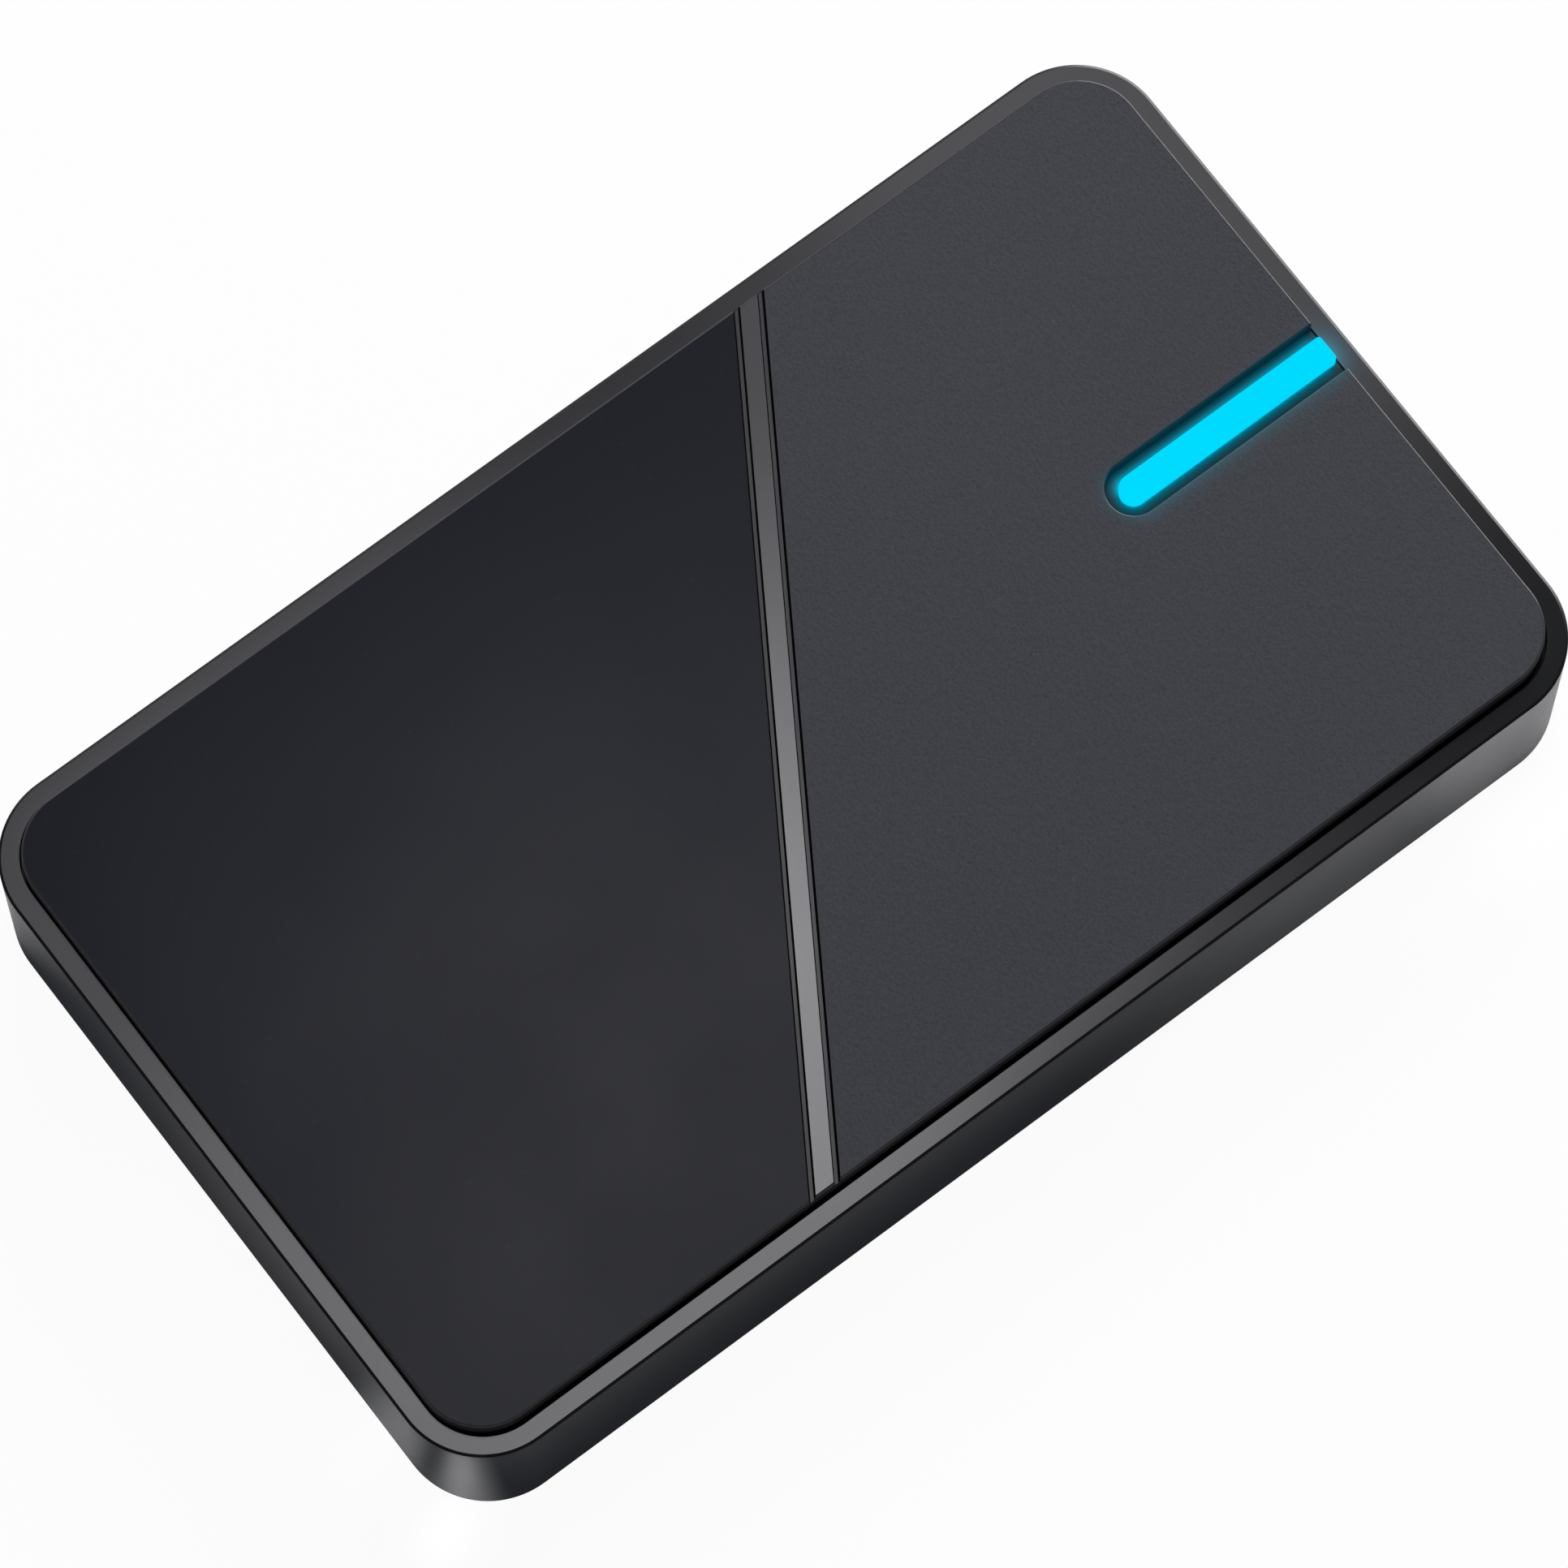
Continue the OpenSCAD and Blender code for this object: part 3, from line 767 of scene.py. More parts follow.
class SettledDust(Effect):
    """Mask of the few specks that settle on upward faces."""

    title = "settled_dust"
    entries = {"amount": 0.1}
    results = {"mask": "NodeSocketFloat"}
    specks_per_mm: ClassVar[float] = 1.7
    detail: ClassVar[float] = 6.0
    speck_range: ClassVar[Span] = (0.62, 0.74)
    upward_range: ClassVar[Span] = (0.5, 0.95)

    @classmethod
    def wire(cls, graph: Graph, entry: Wires) -> dict[str, Wire]:
        """Keep the peaks of a noise where the surface looks up.

        Args:
            graph: The group's tree.
            entry: The group's inputs.

        Returns:
            What the group puts out, by output.
        """
        noise = graph.noise(graph.millimetres(), cls.specks_per_mm, cls.detail)
        specks = graph.spread(noise, *cls.speck_range)
        upward = graph.spread(graph.normal_axes()["Z"], *cls.upward_range)
        settled = graph.math("MULTIPLY", specks, upward)
        return {"mask": graph.math("MULTIPLY", settled, entry["amount"])}


class PaintedBarGlow(Effect):
    """Light bar's glow painted round it as emission, and the surface's colour painted darker under it."""

    title = "painted_bar_light"
    entries = {"front": 1.0, "back": 1.0, "end": 1.0, "span mm": 0.5}
    results = {"glow": "NodeSocketColor", "cover": "NodeSocketFloat"}
    painted_darkening_gain: ClassVar[float] = 2.2
    back: ClassVar[tuple[float, float, float]] = (0.6, 0.8, 0.0)
    end: ClassVar[tuple[float, float, float]] = (-1.0, 0.0, 0.0)
    turn_range: ClassVar[Span] = (-0.4, 0.8)
    tint: ClassVar[tuple[float, ...]] = (0.0, 0.62, 0.9, 1.0)
    # Black: no painted glow, and the colour that the painted darkening goes to
    dark: ClassVar[tuple[float, ...]] = (0.0, 0.0, 0.0, 1.0)

    @classmethod
    def wire(cls, graph: Graph, entry: Wires) -> dict[str, Wire]:
        """Fade the painted glow and the painted darkening with the distance from the bar.

        Args:
            graph: The group's tree.
            entry: The group's inputs.

        Returns:
            What the group puts out, by output.
        """
        low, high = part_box("light_bar")
        half = high.y / MM
        start = low.x / MM + half
        end = high.x / MM - half
        axes = graph.axes(graph.millimetres())
        nearest = graph.add("Clamp", {"Value": axes["X"], "Min": start, "Max": end}).outputs[0]
        past = graph.math("SUBTRACT", axes["X"], nearest)
        flat = graph.add("CombineXYZ", {"X": past, "Y": axes["Y"]}).outputs[0]
        reach = graph.vector("LENGTH", flat)["Value"]
        gap = graph.math("MAXIMUM", graph.math("SUBTRACT", reach, half), 0.0)
        heading = graph.vector("NORMALIZE", flat)[0]
        turn = graph.vector("DOT_PRODUCT", heading, cls.back)["Value"]
        strength = graph.spread(turn, *cls.turn_range, entry["front"], entry["back"])
        endward = graph.vector("DOT_PRODUCT", heading, cls.end)["Value"]
        strength = graph.math("MULTIPLY", strength, graph.spread(endward, 0.0, 1.0, 1.0, entry["end"]))
        spans = graph.math("DIVIDE", gap, entry["span mm"])
        fade = graph.math("EXPONENT", graph.math("MULTIPLY", spans, -1.0))
        level = graph.math("MULTIPLY", fade, strength, clamp=True)
        # Painted shade: share by which the base colour is darkened under the glow
        cover = graph.math("MULTIPLY", level, cls.painted_darkening_gain, clamp=True)
        return {"glow": graph.blend(level, cls.dark, cls.tint), "cover": cover}


class DrawnLines(Effect):
    """Fine lines that rolling, drawing or brushing leaves in metal."""

    title = "drawn_lines"
    entries = {"per mm": 6.0}
    results = {"height": "NodeSocketFloat", "tone": "NodeSocketFloat"}
    stretch: ClassVar[tuple[float, float, float]] = (0.06, 1.0, 1.0)
    detail: ClassVar[float] = 4.0
    tone_range: ClassVar[Span] = (0.25, 0.75)

    @classmethod
    def wire(cls, graph: Graph, entry: Wires) -> dict[str, Wire]:
        """Stretch a noise along X.

        Args:
            graph: The group's tree.
            entry: The group's inputs.

        Returns:
            What the group puts out, by output.
        """
        place = graph.vector("MULTIPLY", graph.millimetres(), cls.stretch)[0]
        noise = graph.noise(place, entry["per mm"], cls.detail)
        return {"height": noise, "tone": graph.spread(noise, *cls.tone_range)}


def shades(colour: Colour, swing: float) -> list[tuple[float, ...]]:
    """A darker and a lighter shade of a colour."""
    return [(*(part * level for part in colour), 1.0) for level in (1 - swing, 1 + swing)]


def drifting_gloss(graph: Graph, gloss: Span, span_mm: float) -> Wire:
    """Roughness that drifts slowly between two values."""
    return SlowDrift.place(graph, span_mm=span_mm, low=gloss[0], high=gloss[1])["value"]


@dataclass(frozen=True)
class Finish:
    """Base of every finish: a named material with one main shader."""

    name: str
    colour: Colour

    def material(self) -> bpy.types.Material:
        """The finish's material, built when it is first asked for.

        Returns:
            The material.
        """
        known = bpy.data.materials.get(self.name)
        if known:
            return known
        made = bpy.data.materials.new(self.name)
        graph = blank_graph(made)
        shader = graph.add("BsdfPrincipled", {})
        graph.add("OutputMaterial", {"Surface": shader.outputs[0]})
        for name, value in self.surface(graph).items():
            graph.feed(shader.inputs[name], value)
        return made

    def surface(self, graph: Graph) -> dict[str, Feed]:
        """What goes into the main shader; each finish has its own."""
        raise NotImplementedError


@dataclass(frozen=True)
class Plastic(Finish):
    """Moulded plastic or rubber: grain, slow changes of gloss, polished edges, a trace of dust, maybe
    painted bar glow.
    """

    gloss: Span = (0.35, 0.45)
    specular: float = 0.5
    grain_per_mm: float = 5.0
    grain_depth: float = 0.004 * MM
    tone_swing: float = 0.06
    drift_mm: float = 22.0
    edge_coat: float = 0.0
    coat_gloss: float = 0.15
    dust: float = 0.0
    # Light bar's painted glow and painted darkening on it: to the front, the back and the closed end, and
    # span in millimetres
    painted_glow: tuple[float, float, float, float] = (0.0, 0.0, 0.0, 0.0)
    dust_colour: ClassVar[tuple[float, ...]] = (0.32, 0.31, 0.29, 1.0)

    def surface(self, graph: Graph) -> dict[str, Feed]:
        """Wire the shared effects into the shader's inputs.

        Args:
            graph: The material's tree.

        Returns:
            What goes into the shader, by input.
        """
        grain = SkinGrain.place(graph, per_mm=self.grain_per_mm)
        colour = graph.blend(grain["tone"], *shades(self.colour, self.tone_swing))
        if self.dust > 0:
            dust = SettledDust.place(graph, amount=self.dust)["mask"]
            colour = graph.blend(dust, colour, self.dust_colour)
        feeds = {
            "Base Color": colour,
            "Roughness": drifting_gloss(graph, self.gloss, self.drift_mm),
            "Specular IOR Level": self.specular,
            "Normal": graph.bump(self.grain_depth, grain["height"]),
        }
        if self.edge_coat > 0:
            polish = EdgePolish.place(graph)["mask"]
            feeds["Coat Weight"] = graph.math("MULTIPLY", polish, self.edge_coat)
            feeds["Coat Roughness"] = self.coat_gloss
        # Painted light: the bar's glow as emission, with the base colour painted darker under it
        if any(self.painted_glow):
            front, back, end, span = self.painted_glow
            painted_glow = PaintedBarGlow.place(graph, front=front, back=back, end=end, span_mm=span)
            feeds["Base Color"] = graph.blend(painted_glow["cover"], colour, PaintedBarGlow.dark)
            feeds["Emission Color"] = painted_glow["glow"]
            feeds["Emission Strength"] = 1.0
        return feeds


@dataclass(frozen=True)
class Metal(Finish):
    """Plated or drawn metal with fine lines and slow changes of gloss."""

    gloss: Span = (0.2, 0.35)
    lines_per_mm: float = 7.0
    line_depth: float = 0.001 * MM
    tone_swing: float = 0.08
    drift_mm: float = 4.0

    def surface(self, graph: Graph) -> dict[str, Feed]:
        """Wire the shared effects into the shader's inputs.

        Args:
            graph: The material's tree.

        Returns:
            What goes into the shader, by input.
        """
        lines = DrawnLines.place(graph, per_mm=self.lines_per_mm)
        return {
            "Base Color": graph.blend(lines["tone"], *shades(self.colour, self.tone_swing)),
            "Metallic": 1.0,
            "Roughness": drifting_gloss(graph, self.gloss, self.drift_mm),
            "Normal": graph.bump(self.line_depth, lines["height"]),
        }


@dataclass(frozen=True)
class LitGuide(Finish):
    """Lit light guide: nearly even light, which dims at the foot of its sides."""

    foot_colour: Colour = (0.0, 0.25, 0.42)
    foot_mm: Span = (0.2, 0.5)
    glow_swing: float = 0.01
    span_mm: float = 5.0
    skin: Colour = (0.0, 0.01, 0.012)
    skin_swing: float = 0.2
    gloss: Span = (0.25, 0.35)

    def surface(self, graph: Graph) -> dict[str, Feed]:
        """Wire the light and the skin of the guide.

        Args:
            graph: The material's tree.

        Returns:
            What goes into the shader, by input.
        """
        swing = SlowDrift.place(graph, span_mm=self.span_mm)["value"]
        lit = graph.blend(swing, *shades(self.colour, self.glow_swing))
        rim_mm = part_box("case_frame")[1].z / MM
        low, high = (rim_mm + away for away in self.foot_mm)
        rise = graph.spread(graph.axes(graph.millimetres())["Z"], low, high)
        return {
            "Base Color": graph.blend(swing, *shades(self.skin, self.skin_swing)),
            "Roughness": drifting_gloss(graph, self.gloss, self.span_mm),
            "Specular IOR Level": 0.0,
            "Emission Color": graph.blend(rise, (*self.foot_colour, 1.0), lit),
            "Emission Strength": 1.0,
        }


@dataclass(frozen=True)
class Laminate(Finish):
    """Solder-masked board with a net of buried tracks."""

    track_colour: Colour = (0.02, 0.075, 0.045)
    track_mm: float = 0.55
    track_depth: float = 0.02 * MM
    track_share: float = 0.12
    track_soft: float = 0.4
    gloss: Span = (0.3, 0.42)
    drift_mm: float = 20.0

    def surface(self, graph: Graph) -> dict[str, Feed]:
        """Wire a net of tracks under the mask.

        Args:
            graph: The material's tree.

        Returns:
            What goes into the shader, by input.
        """
        net = {
            "Vector": graph.millimetres(),
            "Scale": 1 / self.track_mm,
            "Mortar Size": self.track_share,
            "Mortar Smooth": self.track_soft,
        }
        tracks = graph.add("TexBrick", net).outputs["Fac"]
        return {
            "Base Color": graph.blend(tracks, (*self.colour, 1.0), (*self.track_colour, 1.0)),
            "Roughness": drifting_gloss(graph, self.gloss, self.drift_mm),
            "Normal": graph.bump(self.track_depth, tracks),
        }


WALL = Plastic(
    "wall_satin", (0.006, 0.0063, 0.0078), gloss=(0.28, 0.33), specular=0.3,
    grain_per_mm=9.0, grain_depth=0.0006 * MM, dust=0.02,
)
RIM = Plastic(
    "rim_polish", (0.0055, 0.006, 0.0075), gloss=(0.14, 0.16), grain_per_mm=8.0,
    grain_depth=0.0002 * MM, dust=0.01, painted_glow=(0.4, 0.4, 1.0, 0.75),
)
STRIP = Plastic(
    "strip_polish", (0.009, 0.0095, 0.011), gloss=(0.16, 0.18), specular=0.68, grain_per_mm=8.0,
    grain_depth=0.0002 * MM, dust=0.02,
)
GROOVE = Plastic(
    "groove_satin", (0.012, 0.0122, 0.013), gloss=(0.3, 0.36), specular=0.5, grain_per_mm=9.0,
    grain_depth=0.0006 * MM,
)
SMOOTH = Plastic(
    "panel_satin", (0.0032, 0.004, 0.0088), gloss=(0.23, 0.27), specular=0.13, grain_per_mm=11.0,
    grain_depth=0.0012 * MM, dust=0.012,
)
GRAIN = Plastic(
    "panel_pebbled", (0.039, 0.04, 0.0475), gloss=(0.55, 0.62), specular=0.2, grain_per_mm=4.2,
    grain_depth=0.022 * MM, tone_swing=0.12, edge_coat=0.5, dust=0.02, painted_glow=(0.9, 0.1, 0.4, 0.53),
)
# Plate's border faces: colour lighter than the smooth panel's and the strip's, which paints light onto
# their shaded near sides
SIDE_PAINTED_LIGHT = Plastic(
    "plate_side_painted_light", (0.024, 0.0243, 0.0255), gloss=(0.4, 0.5), specular=0.2, grain_per_mm=8.0,
    grain_depth=0.001 * MM, edge_coat=0.45, painted_glow=(0.85, 0.1, 0.4, 0.53),
)
FLANK = Plastic(
    "flank_matt", (0.007, 0.007, 0.0078), gloss=(0.5, 0.6), specular=0.0, grain_per_mm=9.0,
    grain_depth=0.001 * MM,
)
COVER = Plastic(
    "cover_satin", (0.012, 0.0122, 0.013), gloss=(0.35, 0.42), specular=0.1, grain_per_mm=9.0,
    grain_depth=0.001 * MM, painted_glow=(0.3, 1.25, 0.9, 0.36),
)
GUIDE = LitGuide("guide_lit", (0.0, 0.7, 1.0))
BASE = Plastic(
    "base_sparked", (0.013, 0.013, 0.0145), gloss=(0.52, 0.62), specular=0.4, grain_per_mm=3.4,
    grain_depth=0.03 * MM, tone_swing=0.12, edge_coat=0.4,
)
RUBBER = Plastic(
    "foot_soft", (0.011, 0.011, 0.0112), gloss=(0.7, 0.82), specular=0.3, grain_per_mm=6.0,
    grain_depth=0.014 * MM, tone_swing=0.15,
)
INSULATOR = Plastic("insulator_moulded", (0.012, 0.012, 0.0128), gloss=(0.42, 0.52), grain_per_mm=7.0)
EPOXY = Plastic(
    "chip_moulded", (0.016, 0.016, 0.0175), gloss=(0.5, 0.6), grain_per_mm=8.0, grain_depth=0.008 * MM,
)
PAD = Plastic("pad_soft", (0.27, 0.31, 0.37), gloss=(0.6, 0.7), grain_per_mm=3.0, grain_depth=0.02 * MM)
CORE = Plastic(
    "core_pressed", (0.07, 0.068, 0.065), gloss=(0.6, 0.72), grain_per_mm=6.0, grain_depth=0.02 * MM,
)
CERAMIC = Plastic("ceramic_fired", (0.36, 0.26, 0.15), gloss=(0.3, 0.4), grain_per_mm=9.0)
LED = Plastic("led_filled", (0.8, 0.78, 0.68), gloss=(0.2, 0.3), grain_per_mm=6.0, grain_depth=0.002 * MM)
ZINC = Metal("screw_zinc", (0.5, 0.5, 0.52), gloss=(0.28, 0.4))
NICKEL = Metal("shell_nickel", (0.64, 0.63, 0.61), gloss=(0.2, 0.3))
GOLD = Metal("contact_plated", (0.86, 0.62, 0.24), gloss=(0.16, 0.26), lines_per_mm=14.0)
ALUMINIUM = Metal("sink_extruded", (0.55, 0.56, 0.58), gloss=(0.35, 0.48), lines_per_mm=5.0)
TIN = Metal("can_drawn", (0.7, 0.7, 0.7), gloss=(0.2, 0.32))
BOARD = Laminate("board_masked", (0.01, 0.042, 0.026))


@dataclass
class Case:
    """Wall ring with its polished rim, ledge, screw bosses and socket openings."""

    layout: Layout
    arches: Sequence[Arch]
    bevel_w: float = 0.23 * MM
    bevel_h: float = 0.13 * MM
    lip_edge: float = 0.08 * MM
    bottom_edge: float = 0.25 * MM
    port_edge: float = 0.2 * MM
    cover_t: float = 1.6 * MM
    ledge_w: float = 1.6 * MM
    ledge_t: float = 1.2 * MM
    boss_r: float = 2.6 * MM
    bore_r: float = 1.05 * MM
    bore_depth: float = 6.7 * MM
    boss_low: float = 3.8 * MM
    rib_t: float = 1.2 * MM
    sink: float = 0.6 * MM

    @property
    def boss_top(self) -> float:
        """Height of the bosses' upper ends, sunk a little into the ledge above them."""
        return self.layout.rim_z - self.cover_t - self.ledge_t + self.sink

    def ring(self) -> Solid:
        """Wall, rim and ledge as one ring of outlines.

        Returns:
            The ring.
        """
        lay = self.layout
        cover_z = lay.rim_z - self.cover_t
        ledge_z = cover_z - self.ledge_t
        loops = [lay.opening.level(lay.base_z)]
        loops += [lay.case.level(lay.base_z + drop, -inset) for drop, inset in edge_arc(self.bottom_edge)]
        loops += [lay.case.level(lay.rim_z - self.bevel_h), lay.case.level(lay.rim_z, -self.bevel_w)]
        loops += [lay.opening.level(lay.rim_z - inset, drop) for inset, drop in edge_arc(self.lip_edge)]
        loops += [
            lay.opening.level(cover_z),
            lay.opening.level(cover_z, -self.ledge_w),
            lay.opening.level(ledge_z, -self.ledge_w),
            lay.opening.level(ledge_z),
        ]
        return Solid().loft(loops, ring=True)

    def bosses(self) -> Solid:
        """Screw bosses below the ledge."""
        return Solid().pegs(self.layout.corners(), self.boss_r, self.boss_low, self.boss_top)

    def ribs(self, along_x: bool) -> Solid:
        """Ribs that tie the bosses to the end walls or to the side walls.

        Args:
            along_x: True for the ribs to the end walls.

        Returns:
            The four ribs.
        """
        lay = self.layout
        half = self.rib_t / 2
        made = Solid()
        for x, y in lay.corners():
            wall_x = math.copysign(lay.opening.half_x + self.sink, x)
            wall_y = math.copysign(lay.opening.half_y + self.sink, y)
            xs = sorted((x, wall_x)) if along_x else (x - half, x + half)
            ys = (y - half, y + half) if along_x else sorted((y, wall_y))
            made.block((xs[0], ys[0], self.boss_low), (xs[1], ys[1], self.boss_top))
        return made

    def bores(self) -> Solid:
        """Pilot bores of the case screws."""
        low = self.boss_low - MARGIN
        return Solid().pegs(self.layout.corners(), self.bore_r, low, self.boss_low + self.bore_depth)

    def openings(self) -> Solid:
        """Cutters of the socket openings in the back wall.

        Returns:
            The cutters.
        """
        lay = self.layout
        depth = lay.opening.half_y - lay.case.half_y - MARGIN
        made = Solid()
        for arch in self.arches:
            made.flared(arch.upright, lay.case.half_y, depth, self.port_edge)
        return made

    def build(self) -> None:
        """Make the case and dress its walls and rim."""
        piece = self.ring().piece("case_shell")
        combine(piece, self.bosses(), Operation.JOIN)
        combine(piece, self.ribs(along_x=True), Operation.JOIN)
        combine(piece, self.ribs(along_x=False), Operation.JOIN)
        combine(piece, self.bores(), Operation.CUT)
        combine(piece, self.openings(), Operation.CUT)
        dress(piece, WALL, RIM)
        dress_level(piece, self.layout.rim_z, index=1)
        seat(piece, Slot.CASE, "case_frame")


@dataclass
class TopPlate:
    """Raised plate: a smooth and a grained panel with the leaning strip between them."""

    layout: Layout
    edge: float = 0.18 * MM
    lean_deg: float = 32.5
    strip_w: float = 1.45 * MM
    groove_w: float = 0.58 * MM
    groove_d: float = 0.35 * MM
    left_flank: float = 0.1 * MM
    right_flank: float = 0.17 * MM
    strip_fit: float = 0.03 * MM
    slot_w: float = 4.72 * MM
    slot_edge: float = 0.12 * MM
    reach: float = 120.0 * MM
    pin_r: float = 0.9 * MM
    pin_l: float = 1.4 * MM
    pin_edge: float = 9.0 * MM
    pin_step: float = 8.0 * MM
    pin_row_edge: float = 13.0 * MM
    strip_pin_r: float = 0.5 * MM
    strip_pin_edge: float = 16.0 * MM

    @property
    def slope(self) -> float:
        """How far the strip goes along X for each length along Y."""
        return math.tan(math.radians(self.lean_deg))

    @property
    def across(self) -> Vector:
        """Level direction across the strip, towards the right panel."""
        lean = math.radians(self.lean_deg)
        return Vector((math.cos(lean), -math.sin(lean), 0))

    @property
    def groove_z(self) -> float:
        """Height of the groove floors."""
        return self.layout.plate_top - self.groove_d

    def slab(self) -> Solid:
        """The whole plate with its rounded upper edge.

        Returns:
            The plate.
        """
        lay = self.layout
        loops = [lay.plate.level(lay.rim_z)]
        loops += [lay.plate.level(lay.plate_top - drop, -inset) for inset, drop in edge_arc(self.edge)]
        return Solid().loft(loops)

    def prism(self, profile: Sequence[Point]) -> Solid:
        """Stretch a profile along the strip.

        Args:
            profile: Pairs of the distance across from the strip's middle line and the height.

        Returns:
            The stretched solid.
        """
        lean = math.radians(self.lean_deg)
        along = Vector((math.sin(lean), math.cos(lean), 0))
        loops = []
        for end in (-self.reach, self.reach):
            loops.append([self.across * place + along * end + Vector((0, 0, z)) for place, z in profile])
        return Solid().loft(loops)

    def panel(self, name: str, side: int, flank: float) -> bpy.types.Object:
        """Part of the plate on one side of the strip.

        Args:
            name: Name of the piece.
            side: -1 for the left panel, 1 for the right one.
            flank: Width of the flank that leads down into the groove.

        Returns:
            The panel with its pins.
        """
        lay = self.layout
        edge = side * (self.strip_w / 2 + self.groove_w)
        foot = edge - side * flank
        low = lay.rim_z - MARGIN
        high = lay.plate_top + MARGIN
        far = side * self.reach
        profile = [
            (far, low), (foot, low), (foot, self.groove_z),
            (edge, lay.plate_top), (edge, high), (far, high),
        ]
        piece = self.slab().piece(name)
        combine(piece, self.prism(profile), Operation.KEEP)
        outer_x = side * (lay.plate.half_x - self.pin_edge)
        outer_y = lay.plate.half_y - self.pin_edge
        row = lay.plate.half_y - self.pin_row_edge
        places = []
        for end in (-1, 1):
            places.append((outer_x, end * outer_y))
            places.append((end * row * self.slope + side * self.pin_step, end * row))
        combine(piece, self.pins(places, self.pin_r), Operation.JOIN)
        return piece

    def pins(self, places: Sequence[Point], radius: float) -> Solid:
        """Pins that hang below the plate."""
        rim_z = self.layout.rim_z
        return Solid().pegs(places, radius, rim_z - self.pin_l, rim_z + self.groove_d)

    def slot(self) -> Solid:
        """Cutter of the slot round the light bar, open at the plate's end.

        Returns:
            The cutter.
        """
        lay = self.layout
        bar_low, bar_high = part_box("light_bar")
        half = self.slot_w / 2
        start = bar_low.x + bar_high.y - half
        end = lay.plate.half_x + self.slot_w
        outline = Outline((end - start) / 2, half, half, x=(start + end) / 2, steps=BAR_STEPS)
        depth = lay.rim_z - lay.plate_top - MARGIN
        return Solid().flared(outline.level, lay.plate_top, depth, self.slot_edge)

    def strip(self) -> bpy.types.Object:
        """Strip with a groove floor on each side of its raised middle.

        Returns:
            The strip with its pins.
        """
        lay = self.layout
        half = self.strip_w / 2
        left = -half - self.groove_w + self.left_flank + self.strip_fit
        right = half + self.groove_w - self.right_flank - self.strip_fit
        low = lay.rim_z - MARGIN
        high = lay.plate_top + MARGIN
        profile = [
            (left, low), (right, low), (right, self.groove_z), (half + self.left_flank, self.groove_z),
            (half, lay.plate_top), (half, high), (-half, high), (-half, lay.plate_top),
            (-half - self.right_flank, self.groove_z), (left, self.groove_z),
        ]
        piece = self.slab().piece("accent_blade")
        combine(piece, self.prism(profile), Operation.KEEP)
        row = lay.plate.half_y - self.strip_pin_edge
        places = [(end * row * self.slope, end * row) for end in (-1, 1)]
        combine(piece, self.pins(places, self.strip_pin_r), Operation.JOIN)
        return piece

    def dress_sides(self, piece: bpy.types.Object) -> None:
        """Dress the flanks of the grooves and the plate's border with a panel's last two materials.

        Args:
            piece: The panel or the strip.
        """
        border = len(piece.data.materials) - 1
        reach = self.strip_w / 2 + self.groove_w
        for face in piece.data.polygons:
            leans = MERGE < face.normal.z < LEVEL_FACE
            if leans and abs(face.center.dot(self.across)) < reach:
                face.material_index = border - 1
        dress_border(piece, self.layout.plate, self.edge, border)

    def build(self) -> None:
        """Make the two panels and the strip."""
        left = self.panel("smooth_panel", side=-1, flank=self.left_flank)
        dress(left, SMOOTH, FLANK, SIDE_PAINTED_LIGHT)
        self.dress_sides(left)
        seat(left, Slot.SMOOTH, "left_panel")
        right = self.panel("pebbled_panel", side=1, flank=self.right_flank)
        combine(right, self.slot(), Operation.CUT)
        dress(right, GRAIN, FLANK, SIDE_PAINTED_LIGHT)
        self.dress_sides(right)
        seat(right, Slot.GRAIN, "right_panel")
        strip = self.strip()
        dress(strip, STRIP, GROOVE, FLANK, SIDE_PAINTED_LIGHT)
        dress_level(strip, self.groove_z, index=1)
        self.dress_sides(strip)
        seat(strip, Slot.CASE, "accent_strip")


@dataclass
class LightBar:
    """Lit guide: the bar in the slot and the blade below it."""

    layout: Layout
    edge: float = 0.06 * MM
    end_r: float = 0.3 * MM
    blade_w: float = 1.4 * MM
    blade_l: float = 11.0 * MM
    blade_start: float = 2.0 * MM
    sink: float = 0.7 * MM

    def build(self) -> None:
        """Make the guide and light it."""
        low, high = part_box("light_bar")
        half = high.y
        bar = Outline(
            (high.x - low.x) / 2, half, half,
            x=(low.x + high.x) / 2, steps=BAR_STEPS, right_radius=self.end_r,
        )
        loops = [bar.level(self.layout.rim_z)]
        loops += [bar.level(high.z - drop, -inset) for inset, drop in edge_arc(self.edge)]
        piece = Solid().loft(loops).piece("light_guide_bar")
        start = low.x + half + self.blade_start
        blade = Solid().block(
            (start, -self.blade_w / 2, low.z),
            (start + self.blade_l, self.blade_w / 2, self.layout.rim_z + self.sink),
        )
        combine(piece, blade, Operation.JOIN)
        dress(piece, GUIDE)
        seat(piece, Slot.LIGHT, "light_bar")


